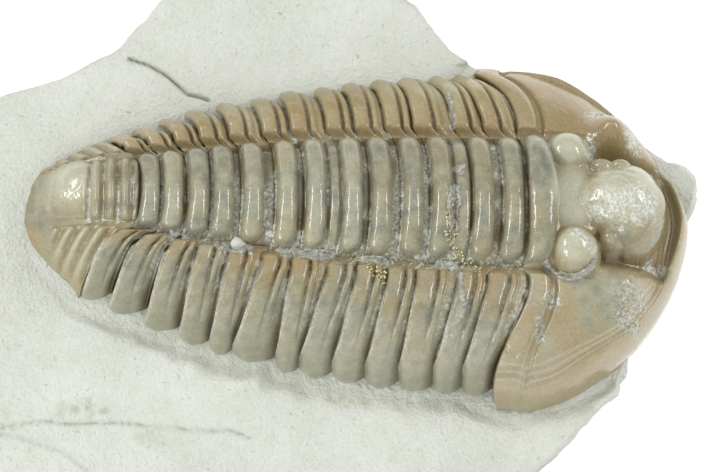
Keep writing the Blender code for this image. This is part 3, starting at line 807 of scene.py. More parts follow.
def head_front(y):
    shown = mix(1.0, HEAD_FAR_LEVEL, ease((y - 3.0) / 5.0))
    share = clamp(shown ** HEAD_POWER - (np.abs(y) / HEAD_HALF) ** HEAD_POWER)
    return HEAD_MID_X + (FRONT_X - HEAD_MID_X) * share ** (1.0 / HEAD_POWER)


def head_level(x, y):
    """0 in the middle of the head and 1 on its edge."""
    forward = np.maximum(0.0, x - HEAD_MID_X) / (FRONT_X - HEAD_MID_X)
    return (forward ** HEAD_POWER + (np.abs(y) / HEAD_HALF) ** HEAD_POWER) ** (1.0 / HEAD_POWER)


def head_side(y):
    inner = AXIS_SHARE * np.arcsin(np.clip(y / HEAD_FORM.axis_half, -1.0, 1.0)) * 2.0 / math.pi
    reach = clamp((np.abs(y) - HEAD_FORM.axis_half) / (HEAD_HALF - HEAD_FORM.axis_half))
    outer = np.sign(y) * mix(AXIS_SHARE, 1.0, reach)
    return np.where(np.abs(y) <= HEAD_FORM.axis_half, inner, outer)


def hill(x, y, centre, half, top, base):
    """Height of an egg-shaped hill, and far below everything outside it."""
    spread = ((x - centre[0]) / half[0]) ** 2 + ((y - centre[1]) / half[1]) ** 2
    round_up = np.maximum(0.0, 1.0 - spread ** 1.2) ** 0.75
    return np.where(spread < 1.0, base + (top - base) * round_up, NOWHERE)


def meld(first, second, soft):
    """The higher of two surfaces, with the corner between them rounded a little."""
    return 0.5 * (first + second + np.sqrt((first - second) ** 2 + soft * soft))


def swell(x, y, centre, half):
    """A soft hill, 1 at its top and 0 outside."""
    spread = np.sqrt(((x - centre[0]) / half[0]) ** 2 + ((y - centre[1]) / half[1]) ** 2)
    return ease(1.0 - spread)


print("the head's front on its middle line:", head_front(np.zeros(1)).round(2))

# %% Cheeks, border and eyes
CHEEK_EDGE_FRONT = -4.4
CHEEK_EDGE_SIDE = -7.0
BORDER_ROLL = 1.1
BORDER_FURROW = 0.55
BORDER_LINE_PITCH = 0.023
BORDER_LINE_DEPTH = 0.04
NEAR_EYE = (18.1, -5.6)
NEAR_EYE_RISE = 1.15
FAR_EYE = (17.7, 5.9)
FAR_EYE_RISE = 2.1


def border_line(x, y):
    """How far a point is in front, and the level at which the border's furrow runs there."""
    front = ease((x - 16.5) / 3.0) * ease((5.2 - np.abs(y)) / 3.4)
    front = front * ease((4.0 - y) / 1.2)
    dip = 0.03 * np.exp(-((np.abs(y) - 9.5) / 1.5) ** 2)
    return front, mix(0.94 - dip, 0.886, front)


def border_lines(level, furrow):
    """Fine lines that run along the border's furrow, from -1 to 1."""
    lines = np.sin((level - furrow) * 2.0 * math.pi / BORDER_LINE_PITCH)
    return lines * ease((level - furrow + 0.06) / 0.03) * ease((furrow + 0.035 - level) / 0.02)


def cheek_height(x, y):
    level = head_level(x, y)
    edge = mix(CHEEK_EDGE_FRONT, CHEEK_EDGE_SIDE, clamp(np.abs(y) / HEAD_HALF) ** 1.2)
    height = edge * (1.0 - dome(clamp((level - 0.4) / 0.6)))
    front, furrow = border_line(x, y)
    fade = ease((x - 10.0) / 3.0) * ease((3.6 - y) / 1.0)
    crest = mix(0.5, 0.72, front)
    across = (level - mix(furrow, 1.0, crest)) / ((1.0 - furrow) * mix(0.5, 0.3, front))
    roll = dome(np.clip(across, -1.0, 1.0)) ** mix(2.0, 1.2, front)
    height += mix(0.3 * fade, BORDER_ROLL, front) * roll
    trough = np.exp(-((level - furrow) / mix(0.036, 0.05, front)) ** 2)
    height -= mix(0.12 * fade, BORDER_FURROW, front) * trough
    height += BORDER_LINE_DEPTH * fade * border_lines(level, furrow)
    near_eye = NEAR_EYE_RISE * swell(x, y, NEAR_EYE, (1.9, 1.9))
    height += near_eye + FAR_EYE_RISE * swell(x, y, FAR_EYE, (2.4, 2.2))
    return height


def rear_band(x, y):
    """The raised band along the head's rear edge, outside the axis."""
    behind = x - rear_edge(HEAD_FORM, head_side(y))
    out = ease((np.abs(y) - 4.5) / 0.9)
    width = mix(0.72, 0.95, clamp((np.abs(y) - 5.0) / 6.0))
    band = 0.4 * dome(np.clip((behind - width) / width, -1.0, 1.0))
    furrow = 0.34 * np.exp(-((behind - 2.0 * width - 0.22) / 0.26) ** 2)
    edge = 0.35 * (1.0 - clamp(behind / 0.25)) ** 2
    return out * (band - furrow) - edge


MOAT_DEPTH = 1.15


def glabella_moat(x, y):
    """The deep furrow between the middle lobe and the cheeks."""
    front = ease((x - 15.3) / 1.2) * ease((21.2 - x) / 1.2)
    beside = 0.3 * dome(np.clip((np.abs(y) - 4.75) / 0.55, -1.0, 1.0)) * ease((16.2 - x) / 1.0)
    return MOAT_DEPTH * np.exp(-((np.abs(y) - 3.5) / 0.62) ** 2) * front + beside


EYES = np.array([NEAR_EYE, FAR_EYE]).T
print("the cheeks at the two eyes:", cheek_height(*EYES).round(2))

# %% Lobes of the glabella
LOBES = (
    # centre, half size, top, base
    ((17.6, 0.0), (3.15, 2.5), 2.5, 0.2),
    ((18.35, -0.1), (2.5, 3.3), 2.3, -0.9),
    ((14.3, 0.1), (2.6, 3.2), 1.3, 0.3),
    ((14.5, -3.4), (1.85, 1.85), 1.85, -0.4),
    ((14.33, 3.45), (1.8, 1.75), 1.75, -0.4),
    ((17.0, -2.6), (0.95, 0.9), 0.95, -0.5),
    ((16.6, 2.45), (1.1, 0.8), 1.2, -0.3),
    ((17.8, 2.6), (0.9, 0.7), 1.0, -0.3),
)
CHEEK_DENT = ((9.7, -9.8), (9.95, -10.2), (10.45, -10.4))
CUTS = (
    # short furrows that run in from the glabella's sides
    ((15.7, 1.7), (16.2, 1.0), (16.8, 0.9), (17.3, 1.3), (18.0, 1.1), (18.5, 0.6)),
    ((15.8, -1.8), (16.3, -1.3), (16.9, -1.3)),
    ((17.6, 2.2), (18.0, 1.7), (18.6, 1.5)),
)


def off_path(x, y, path):
    """Distance from a path of straight stretches."""
    nearest = np.full(np.broadcast(x, y).shape, 1e9)
    for (ax, ay), (bx, by) in zip(path, path[1:]):
        run_x, run_y = bx - ax, by - ay
        share = clamp(((x - ax) * run_x + (y - ay) * run_y) / (run_x ** 2 + run_y ** 2))
        nearest = np.minimum(nearest, np.hypot(x - ax - share * run_x, y - ay - share * run_y))
    return nearest


def head_ring(x, y):
    turn = np.clip(np.abs(y) / HEAD_FORM.axis_half, 0.0, 1.0)
    middle = HEAD_RING_X + 0.1 + HEAD_FORM.bow * dome(turn)
    half = mix(1.08, 0.72, turn)
    across = (x - middle) / half
    ring = (HEAD_FORM.crest - 0.4) * dome(turn) ** 1.2 + RING_RISE * dome(np.clip(across, -1, 1)) - 0.2
    return np.where((np.abs(across) < 1.0) & (turn < 1.0), ring, NOWHERE), turn


def head_height(x, y):
    height = cheek_height(x, y) + rear_band(x, y) - glabella_moat(x, y)
    height -= 0.16 * np.exp(-(off_path(x, y, CHEEK_DENT) / 0.12) ** 2)
    ring, turn = head_ring(x, y)
    inside = np.abs(y) <= HEAD_FORM.axis_half
    floor = np.where(inside, 0.55 * HEAD_FORM.crest * dome(turn) - 0.2, height)
    floor = mix(floor, height, ease((x - 13.2) / 1.5))
    lobes = np.full(x.shape, NOWHERE)
    for centre, half, top, base in LOBES:
        lobes = meld(lobes, hill(x, y, centre, half, top, base), 0.1)
    for path in CUTS:
        lobes = lobes - 0.16 * np.exp(-(off_path(x, y, path) / 0.16) ** 2)
    return meld(meld(floor, lobes, 0.06), ring, 0.05), np.maximum(lobes, ring) > floor


print(len(LOBES), "lobes and", len(CUTS), "cuts")

# %% [markdown]
# ## The marks on the head
#
# The swollen middle lobe is frosted with white calcite and pale all over, the cheeks are tan
# with faint grey bands, and greenish rock still clings round the eyes.  A painted mask could
# say all this.  Round spots with torn edges, each given by its centre and half size in the
# animal's frame, are easier to read and to move.

# %% Patches on the head
FROST_SPOTS = (
    ((17.2, -0.8), (2.5, 1.4)),
    ((18.9, -0.7), (1.5, 1.7)),
    ((18.9, 5.1), (0.8, 0.9)),
    ((20.1, -3.4), (1.1, 0.45)),
    ((15.6, -3.4), (0.6, 0.8)),
    ((14.9, -3.0), (0.9, 0.6)),
)
CRUST_SPOTS = (
    ((18.2, -6.1), (1.3, 0.8)),
    ((18.0, -7.3), (1.2, 0.6)),
    ((12.9, -6.9), (0.8, 0.8)),
    ((12.1, -8.8), (0.4, 1.1)),
    ((16.9, 7.2), (1.5, 0.9)),
    ((15.9, 3.9), (0.5, 1.6)),
)
PALE_SPOTS = (
    ((14.4, 0.0), (1.5, 2.6)),
    ((14.5, -3.66), (1.5, 1.5)),
    ((14.33, 3.5), (1.5, 1.4)),
    ((18.2, 0.4), (2.8, 2.6)),
)
BASIN = ((19.4, -3.3), (2.4, 1.6))


def spots(x, y, list_of_spots):
    total = np.zeros(x.shape)
    for centre, half in list_of_spots:
        total = np.maximum(total, ease(1.6 * swell(x, y, centre, (1.3 * half[0], 1.3 * half[1]))))
    return total


def cheek_marks(x, y):
    """Pale lines along the border, and faint grey bands across the near cheek."""
    level = head_level(x, y)
    front, line = border_line(x, y)
    near = ease((-y - 4.0) / 1.5)
    lines = near * clamp(border_lines(level, line)) * (1.0 - front)
    slanted = np.stack([x + 0.36 * y, 0.15 * y, 0.0 * x], -1)
    bands = near * ease((rough(slanted, 1.1, 21) - 0.42) / 0.2) * ease((0.93 - level) / 0.1)
    return lines, bands


def head_marks(x, y, sheet, lobe):
    front, line = border_line(x, y)
    middle = line + mix(-0.01, 0.005, front)
    furrow = np.exp(-((head_level(x, y) - middle) / mix(0.01, 0.045, front)) ** 2)
    moat = clamp(glabella_moat(x, y) / 0.9) * (1.0 - lobe)
    edge = 1.0 - ease((x - rear_edge(HEAD_FORM, head_side(y))) / 0.22)
    # painted shade in dark brown: the border's furrow, the moat round the glabella, the rear edge
    groove_shade = np.maximum(np.maximum(furrow * mix(0.1, 0.4, front), 0.4 * moat), edge)
    cloud = rough(sheet, 0.7, 3)
    frost = spots(x, y, FROST_SPOTS) * mix(0.3, 0.95, ease((cloud - 0.3) / 0.25))
    plain = (1.0 - lobe) * (1.0 - front)
    lines, bands = cheek_marks(x, y)
    pale = np.maximum(spots(x, y, PALE_SPOTS) * 0.85, 0.2 * plain * (y < 0.0) + 0.35 * lines)
    fill = 0.9 * spots(x, y, CRUST_SPOTS) * mix(0.4, 1.0, ease((cloud - 0.3) / 0.3))
    frost = np.maximum(frost, 0.5 * fill)
    ring = head_ring(x, y)[0] > NOWHERE
    olive = np.maximum(np.maximum(0.85 * ring, 0.5 * lobe), (0.15 + 0.6 * bands) * plain * (y < 0.0))
    rust = np.maximum(np.maximum(0.7 * moat, 0.3 * front), 0.5 * plain * ease((y - 3.5) / 1.5))
    basin = swell(x, y, *BASIN) * (1.0 - lobe)
    rust = np.maximum(rust, np.maximum(basin, 0.5 * (1.0 - bands) * plain * (y < 0.0)))
    return {"groove_shade": groove_shade, "fill": fill, "frost": frost, "olive": olive, "pale": pale, "rust": rust}


# %% Build of the head
HEAD_ACROSS = 330
HEAD_ALONG = 230
LEAST_THICKNESS = 0.4


def make_head():
    share = np.linspace(-1.0, 1.0, HEAD_ACROSS)
    half = np.where(share < 0.0, HEAD_HALF, HEAD_FAR_HALF)
    y = half * mix(np.sin(0.5 * math.pi * share), share, 0.3)
    even = np.linspace(0.0, 1.0, HEAD_ALONG)
    y, along = np.meshgrid(y, mix(even, np.sin(0.5 * math.pi * even), 0.55))
    corner = clamp((np.abs(y) - 11.0) / 1.2) ** 3 * 0.4
    start = rear_edge(HEAD_FORM, head_side(y)) + corner
    end = np.maximum(head_front(y), start + 0.8)
    x = mix(start, end, along)
    z, lobe = head_height(x, y)
    sheet = lay_down(x, y, z)
    marks = head_marks(x, y, sheet, lobe)
    sheet = roughened(sheet, 0.6 * np.maximum(marks["frost"], marks["fill"]), 20)
    sheet[..., 2] = np.maximum(sheet[..., 2], PIECE_BOTTOM + LEAST_THICKNESS)
    head = solid_from_sheet("cephalon_shell", sheet, SHELL, marks)
    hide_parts("cephalon")
    return head


make_head()

# %% [markdown]
# ## The tail shield
#
# The last rings and ribs are fused into one plate with a smooth border and a round knob at the
# end of the axis.  It could be more segments, each smaller than the one before, but fused
# ribs have no edges of their own.  So it is one sheet: its front edge is the rear edge of the
# thirteenth segment, moved 0.1 mm under it, and from there it runs to its own rounded rear,
# with its rings and ribs as waves on it.

# %% Shape of the tail
TAIL_TIP_Y = 1.2
TAIL_DROP = 3.9
TAIL_EDGE = -5.6
TAIL_AXIS_HALF = 2.4
TAIL_AXIS_END_X = -19.9
TAIL_RING_PITCH = 0.98
TAIL_RIB_PITCH = 1.25
TAIL_RING_RISE = 0.2
TAIL_RIB_START = -14.0
TAIL_RIB_SLANT = 0.84
TAIL_RIB_RISE = 0.25
TAIL_AXIS_RISE = 1.35
KNOB = (-18.9, 0.75)
KNOB_HALF = 1.95
KNOB_RISE = 1.4


def tail_rear(y):
    off = y - TAIL_TIP_Y
    return TAIL_X + np.where(off > 0.0, 0.21, 0.0703) * off * off


def tail_height(x, y, share, reach, form):
    slope = -TAIL_DROP * share ** 1.7
    side_drop = FLANK_DROP * (1.0 - (1.0 - clamp(reach) ** 1.7) ** (1.0 / 1.5))
    edge = TAIL_EDGE + clamp(y / 5.0)
    pleura = np.maximum(slope - side_drop * (1.0 - 0.5 * share), edge)
    turn = clamp(np.abs(y - 0.6 * share) / (TAIL_AXIS_HALF * (1.0 - 0.3 * share)))
    ahead = form.ring_x - RING_BEHIND - x
    wave = np.cos(2.0 * math.pi * (ahead / TAIL_RING_PITCH - 0.5))
    ripple = TAIL_RING_RISE * np.sign(wave) * np.abs(wave) ** 0.7
    ripple = ripple * ease((x - TAIL_AXIS_END_X - 1.5) / 0.8)
    inside = ease((x - TAIL_AXIS_END_X + 1.9) / 1.6)
    axis = slope + (TAIL_AXIS_RISE * dome(turn) ** 1.1 + ripple) * inside - 0.1
    off_knob = np.hypot((x - KNOB[0]) / KNOB_HALF, (y - KNOB[1]) / KNOB_HALF)
    knob_furrow = 0.16 * np.exp(-((off_knob - 1.1) / 0.1) ** 2)
    knob = slope + KNOB_RISE * dome(clamp(off_knob)) ** 1.3 - knob_furrow
    slant = x + TAIL_RIB_SLANT * np.abs(y)
    rib = -np.cos(2.0 * math.pi * (slant - TAIL_RIB_START) / TAIL_RIB_PITCH)
    outward = np.where(y < 0.0, (1.02 - reach) / 0.3, (0.72 - reach) / 0.3)
    ribs = TAIL_RIB_RISE * rib * ease((reach - 0.03) / 0.08)
    ribs = ribs * ease((0.86 - share) / 0.2) * ease(outward)
    height = np.where(turn < 1.0, np.maximum(np.maximum(axis, knob), pleura), pleura + ribs)
    return height - 0.35 * (1.0 - clamp(share / 0.03)) ** 2, rib, wave


print("the tail's rear on its middle line:", float(tail_rear(TAIL_TIP_Y)))

# %% Marks and build of the tail
TAIL_ROWS = 130
TAIL_TUCK = 0.1
TAIL_NARROWS = 0.32


def tail_marks(sheet, x, y, share, reach, rib, wave):
    knob = swell(x, y, KNOB, (2.6, 2.6))
    on_ribs = ease((reach - 0.06) / 0.1) * ease((0.8 - share) / 0.2) * ease((0.95 - reach) / 0.2)
    on_rings = (reach <= 0.0) * ease((x - TAIL_AXIS_END_X - 1.2) / 0.6)
    lows = np.maximum(on_ribs * ease((-rib - 0.55) / 0.4), on_rings * ease((-wave - 0.3) / 0.6))
    frost = lows * ease((rough(sheet, 0.8, 9) - 0.45) / 0.15) * 0.5
    first = 1.0 - ease(share / 0.03)
    clouds = mix(0.2, 1.0, ease((rough(sheet, 1.2, 33) - 0.4) / 0.2))
    marks = {
        # painted shade in dark brown along the front edge under the thirteenth segment and in low
        # furrows
        "groove_shade": np.maximum(first, 0.5 * lows * (1.0 - frost)),
        "fill": 0.6 * lows * (reach <= 0.0) * clouds,
        "frost": frost * (reach <= 0.0),
        "olive": 0.35 + 0.35 * ease((0.12 - reach) / 0.5),
        "pale": np.maximum(0.75 * clamp(1.5 * knob), 0.45 * on_ribs * ease((rib + 0.2) / 0.8)),
        "rust": 0.25 * (reach > 0.0) * (1.0 - ease(reach / 0.6)),
    }
    return marks, frost


def make_tail(form):
    even = np.linspace(0.0, 1.0, TAIL_ROWS)
    side, share = np.meshgrid(side_values(), mix(even, np.sin(0.5 * math.pi * even), 0.35))
    flank_y = flank_curve(form, 0.93 * clamp(reach_of(side)))[0]
    turn = 0.5 * math.pi * np.clip(side / AXIS_SHARE, -1.0, 1.0)
    on_axis = np.abs(side) <= AXIS_SHARE
    edge_y = np.where(on_axis, form.axis_half * np.sin(turn), np.sign(side) * flank_y)
    edge_x = rear_edge(form, side) + TAIL_TUCK
    y = mix(edge_y, mix(edge_y, TAIL_TIP_Y, TAIL_NARROWS), share)
    x = mix(edge_x, np.minimum(tail_rear(y), edge_x - 0.6), share)
    reach = reach_of(side)
    z, rib, wave = tail_height(x, y, share, reach, form)
    sheet = lay_down(x, y, z)
    marks, frost = tail_marks(sheet, x, y, share, reach, rib, wave)
    sheet = roughened(sheet, frost * 0.6, 30)
    sheet[..., 2] = np.maximum(sheet[..., 2], PIECE_BOTTOM + LEAST_THICKNESS)
    marks = {name: values[::-1] for name, values in marks.items()}
    tail = solid_from_sheet("pygidium_shell", sheet[::-1], SHELL, marks)
    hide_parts("pygidium")
    return tail


make_tail(FORMS[-1])

# %% [markdown]
# ## The slab of shale
#
# Shale is hardened mud.  It breaks in thin flat layers, so its top is almost level, with low
# steps, hairline cracks and a rough edge, and its broken sides show thin beds.  Along the near
# side of the fossil the preparator has dug a shallow trench, rougher and greener than the old
# surface.  A block with the pocket cut out would do, but its points would be as far apart at
# the shell as at the rim.  So the slab is built as rings, from the pocket under the fossil out
# to the broken edge and down the side, and they lie closer together near the shell.

# %% Outline of the slab
SLAB_CORNERS = (
    (-28.6, 2.0), (-29.4, -4.5), (-28.7, -11.0), (-26.4, -17.2), (-21.0, -21.3), (-12.5, -22.8),
    (-3.0, -22.4), (6.0, -21.2), (12.4, -17.6), (14.9, -15.3), (16.7, -13.0), (17.9, -12.2),
    (18.4, -10.0), (19.0, -8.0), (20.2, -5.5), (21.3, -2.5), (22.4, 0.2), (22.9, 1.4),
    (23.0, 2.3), (22.1, 3.4), (20.0, 4.4), (17.0, 6.3), (14.0, 7.8), (11.0, 9.2),
    (7.8, 10.0), (6.1, 11.2), (4.8, 12.7), (3.5, 14.1), (0.5, 16.4), (-6.0, 17.2),
    (-12.0, 15.6), (-14.4, 12.3), (-16.6, 9.9), (-19.8, 8.4), (-23.8, 7.1), (-27.2, 5.6),
)
SLAB_CENTRE = (0.0, -1.5)


def ray_lengths(angles):
    """Distance from the slab's centre to its outline in each direction."""
    corners = np.array(SLAB_CORNERS) - SLAB_CENTRE
    best = np.zeros(angles.shape)
    run = np.stack([np.cos(angles), np.sin(angles)])
    for first, last in zip(corners, np.roll(corners, -1, axis=0)):
        edge = last - first
        cross = run[0] * edge[1] - run[1] * edge[0]
        cross = np.where(np.abs(cross) < TINY, TINY, cross)
        along_ray = (first[0] * edge[1] - first[1] * edge[0]) / cross
        along_edge = (first[0] * run[1] - first[1] * run[0]) / cross
        hit = (along_ray > 0.0) & (along_edge >= -1e-6) & (along_edge <= 1.0 + 1e-6)
        best = np.where(hit, np.maximum(best, along_ray), best)
    return best


def animal_reach(angles):
    """How far the fossil's plates reach from the slab's centre in each direction."""
    reach = np.zeros(360)
    for name, node in frame["nodes"].items():
        if name != "shale_matrix":
            x, y = (np.array([vert.co[:2] for vert in node.data.vertices]) / MM - SLAB_CENTRE).T
            degree = np.round(np.degrees(np.arctan2(y, x))).astype(int) % 360
            np.maximum.at(reach, degree, np.hypot(x, y))
    wide = np.max([np.roll(reach, step) for step in range(-2, 3)], axis=0)
    smooth = np.mean([np.roll(wide, step) for step in range(-2, 3)], axis=0)
    return np.interp(np.degrees(angles) % 360, np.arange(361), np.append(smooth, smooth[0]))


print("slab and animal reach towards the head:", ray_lengths(np.zeros(1)), animal_reach(np.zeros(1)))

# %% Cracks and steps, placed where the photograph shows them
SLAB_TOP = 9.0
SLAB_WAVE = 0.22
SLAB_LUMPS = 0.2
SLAB_GRIT = 0.09
CRACK_BEHIND = ((127, 57), (145, 63), (158, 70), (166, 75), (186, 93), (199, 96), (207, 99))
CRACK_FRONT = (
    (0, 428), (40, 421), (66, 424), (121, 423), (143, 425), (199, 431), (232, 431), (249, 438),
)
STEP_CORNER = ((0, 433), (33, 444), (66, 454), (86, 472), (92, 490))
STEP_FRONT = ((149, 446), (191, 453), (224, 471), (232, 490))
SCRATCH = ((0, 398), (6, 408), (11, 416))
NUB = (600, 398)
NUB_RISE = 0.5
DUG_LINES = (
    # path, depth and half width
    (CRACK_BEHIND, 0.42, 0.1), (CRACK_FRONT, 0.26, 0.08), (SCRATCH, 0.14, 0.08),
)
STEPS = ((STEP_CORNER, 0.4), (STEP_FRONT, 0.28))
STEP_FADES = 2.2


def slab_path(pixels):
    return [seen_at(x, y, SLAB_TOP) for x, y in pixels]


def side_of_path(x, y, path):
    """Positive on the left of a path, negative on its right."""
    (ax, ay), (bx, by) = path[0], path[-1]
    return np.sign((bx - ax) * (y - ay) - (by - ay) * (x - ax))


def slab_relief(x, y, ground):
    """Waves, steps and cracks of the slab's old surface."""
    height = np.sin(0.23 * x + 0.4) * np.cos(0.31 * y) + 0.5 * np.sin(0.5 * x - 0.37 * y)
    height = SLAB_WAVE * height + SLAB_LUMPS * (rough(ground, 2.6, 41) - 0.5)
    height = height + SLAB_GRIT * (rough(ground, 0.5, 45) - 0.5)
    for pixels, depth, half in DUG_LINES:
        gap = off_path(x, y, slab_path(pixels))
        height = height - depth * np.exp(-(gap / half) ** 2)
    for pixels, drop in STEPS:
        path = slab_path(pixels)
        gap = off_path(x, y, path)
        below = side_of_path(x, y, path) < 0.0
        height = height - np.where(below, drop * np.exp(-gap / STEP_FADES), 0.0)
    return height + NUB_RISE * swell(x, y, seen_at(*NUB, SLAB_TOP), (0.8, 0.7))


print("crack behind the tail starts at", slab_path(CRACK_BEHIND)[0])

# %% [markdown]
# ## The colour of shale
#
# Dry shale is matt and nearly white, with greener clouds, fine pale grit and a few dark
# specks.  A flat colour would look like plaster.  Noise of five sizes gives the clouds and the
# grit all the way through the rock, so the broken sides match the top, and two marks say where
# it is greener and where it is darker: stains, and painted shade along the cracks and a step.

# %% The shale's finish
SHALE = (0.555, 0.575, 0.51)
SHALE_LIGHT = (0.68, 0.70, 0.645)
SHALE_GREEN = (0.55, 0.58, 0.47)
SPECK_DARK = (0.32, 0.33, 0.27)


def make_shale_finish():
    finish, tree, shader, place = new_finish("shale")
    clouds = noise(tree, place, 6.0)
    patches = noise(tree, place, 1.6)
    fine = noise(tree, place, 0.22, 5.0)
    specks = noise(tree, place, 0.34, 2.0)
    colour = blend_colours(tree, stretch(tree, clouds, 0.3, 0.7), SHALE, SHALE_LIGHT)
    green = sums(tree, "ADD", mark(tree, "green"), stretch(tree, patches, 0.45, 0.85, 0.0, 0.5))
    colour = blend_colours(tree, green, colour, SHALE_GREEN)
    colour = blend_colours(tree, stretch(tree, fine, 0.3, 0.7, 0.0, 0.6), colour, SHALE_LIGHT)
    mottle = noise(tree, place, 0.7, 4.0)
    colour = blend_colours(tree, stretch(tree, mottle, 0.52, 0.72, 0.0, 0.4), colour, SHALE_GREEN)
    colour = blend_colours(tree, stretch(tree, specks, 0.66, 0.76, 0.0, 0.6), colour, SPECK_DARK)
    # darker stains, and painted shade along the cracks and a step
    colour = blend_colours(tree, mark(tree, "dark"), colour, SPECK_DARK)
    tree.links.new(colour, shader.inputs["Base Color"])
    tree.links.new(stretch(tree, fine, 0.2, 0.8, 0.8, 0.98), shader.inputs["Roughness"])
    shader.inputs["Specular IOR Level"].default_value = 0.25
    height = sums(tree, "ADD", fine, sums(tree, "MULTIPLY", patches, 0.8))
    raise_bumps(tree, shader, height, 0.15, 1.0)
    return finish


SHALE_FINISH = make_shale_finish()
print("nodes in the shale's finish:", len(SHALE_FINISH.node_tree.nodes))

# %% Rings of the slab's top
SLAB_RAYS = 720
TOP_RINGS = 96
POCKET_FLOOR = 7.0
TRENCH_LEVEL = 8.5
UNDER_HEAD_LEVEL = 7.4
FAR_CORNER_DROP = 0.5
EDGE_RAG = 0.35
SPECK_FIELDS = (
    # centre and half size of each field of green specks, in pixels
    (88, 411, 34, 14), (162, 438, 28, 8), (350, 401, 60, 8), (580, 418, 45, 22),
)


def green_fields(x, y, ground):
    green = np.zeros(x.shape)
    for pixel_x, pixel_y, half_x, half_y in SPECK_FIELDS:
        centre = seen_at(pixel_x, pixel_y, SLAB_TOP)
        field = swell(x, y, centre, (1.5 * half_x * PIXEL, 1.5 * half_y * PIXEL))
        green = np.maximum(green, 1.2 * field * ease((grain(ground, 0.5, 61) - 0.35) / 0.3))
    return green


def slab_rings():
    angle = np.linspace(0.0, 2.0 * math.pi, SLAB_RAYS, endpoint=False)
    outer = ray_lengths(angle)
    ragged = np.stack([np.cos(angle) * 6.0, np.sin(angle) * 6.0, 0.0 * angle], -1)
    outer = outer + EDGE_RAG * (rough(ragged, 0.5, 51) - 0.5)
    animal = animal_reach(angle)
    near = ease((-np.sin(angle) - 0.05) / 0.5)
    under_head = (animal + 0.5 > outer) & (np.cos(angle) > 0.62)
    under_head = np.mean([np.roll(under_head, step) for step in range(-5, 6)], axis=0)
    at_front = ease((np.cos(angle) * animal - 13.0) / 4.0)
    start = np.minimum(animal - mix(3.2, 0.6, at_front), outer - 1.6)
    share = np.linspace(0.0, 1.0, TOP_RINGS)[:, None] ** 1.25
    radius = mix(start, outer - 0.15, share)
    x = SLAB_CENTRE[0] + radius * np.cos(angle)
    y = SLAB_CENTRE[1] + radius * np.sin(angle)
    ground = np.stack([x, y, 0.0 * x], -1)
    beyond = radius - animal
    width = mix(0.3, 1.3, near) * mix(0.6, 1.6, grain(ground, 1.6, 71))
    climb = ease((beyond - 0.1) / width)
    old_top = SLAB_TOP + slab_relief(x, y, ground)
    dug = mix(old_top, TRENCH_LEVEL + 0.3 * (rough(ground, 0.4, 75) - 0.5), near)
    top = mix(dug, old_top, climb)
    top = mix(top, np.minimum(top, UNDER_HEAD_LEVEL), ease(under_head))
    far_corner = FAR_CORNER_DROP * ease((animal + 1.5 - outer) / 1.5)
    top = top - far_corner * ease((np.sin(angle) - 0.3) / 0.2) * (1.0 - climb)
    top = mix(POCKET_FLOOR + 0.2, top, ease(share * 60.0))
    patchy = mix(0.3, 1.0, ease((grain(ground, 2.2, 73) - 0.4) / 0.3))
    trench = (1.0 - climb) * mix(0.25, 1.0, near) * patchy
    return angle, outer, x, y, top, trench, ground


# %% Broken sides and marks of the slab
WALL_RINGS = 38
UNDERCUT = 2.4
WALL_LUMPS = 0.5
BED_STEP = 0.3
# painted shade along the cracks and along the edge of one step
CRACK_SHADE_LINES = (
    # path, strength and half width
    (CRACK_BEHIND, 0.8, 0.12), (CRACK_FRONT, 0.4, 0.09), (STEP_CORNER, 0.35, 0.14),
)


def wall_ring(angle, outer, edge_height, level):
    """One ring of the broken side; level runs from 0 at the top to 1 at the base."""
    height = (edge_height - 0.1) * (1.0 - level)
    out = outer - UNDERCUT * level ** 1.3 + 0.1
    spot = np.stack([out * np.cos(angle), out * np.sin(angle), height * 3.0], -1)
    out = out + WALL_LUMPS * (rough(spot, 1.6, 81) - 0.5) * (level < 1.0)
    beds = np.stack([np.cos(angle) * 4.0, np.sin(angle) * 4.0, height * 4.0], -1)
    out = out + BED_STEP * (ease((grain(beds, 1.6, 83) - 0.4) / 0.2) - 0.5) * (level < 1.0)
    x = SLAB_CENTRE[0] + out * np.cos(angle)
    return np.stack([x, SLAB_CENTRE[1] + out * np.sin(angle), height], -1)


def slab_marks(x, y, trench, ground):
    """Where the slab's top is greener, and where darker: stains, painted shade at cracks and a step."""
    fields = green_fields(x, y, ground)
    stains = fields * ease((rough(ground, 0.7, 63) - 0.5) / 0.15)
    dark = 0.45 * stains
    for pixels, strength, half in CRACK_SHADE_LINES:
        gap = off_path(x, y, slab_path(pixels))
        dark = np.maximum(dark, strength * np.exp(-(gap / half) ** 2))
    return {"green": np.maximum(0.6 * trench, fields), "dark": dark}


# %% Build of the slab
def make_slab():
    angle, outer, x, y, top, trench, ground = slab_rings()
    levels = np.linspace(0.0, 1.0, WALL_RINGS)[1:]
    wall = [wall_ring(angle, outer, top[-1], level)[None] for level in levels]
    points = np.concatenate([np.stack([x, y, top], -1)] + wall)
    count = len(points)
    index = np.arange(count * SLAB_RAYS).reshape(count, SLAB_RAYS)
    turned = np.roll(index, -1, axis=1)
    faces = np.stack([index[:-1], index[1:], turned[1:], turned[:-1]], -1).reshape(-1, 4).tolist()
    faces += [index[0].tolist(), index[-1].tolist()]
    marks = {}
    for name, values in slab_marks(x, y, trench, ground).items():
        marks[name] = np.zeros(points.shape[:2])
        marks[name][:TOP_RINGS] = values
    slab = add_piece("shale_slab", points.reshape(-1, 3), faces, SHALE_FINISH, marks)
    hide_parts("shale_matrix")
    return slab


make_slab()

# %% [markdown]
# ## Grains that the needle left
#
# Small things sit on the fossil: a grey crust in the near furrow and behind the head's lobe, a
# crack filled with coarse calcite across the second and third segments, a crumb of rock, and
# brass-yellow crystals of pyrite.  They could be placed by hand, one by one.  Here their paths
# are pixels of the photograph, and every point is let fall along the line of sight until it
# meets the shell, so each thing lies on the surface wherever that is.

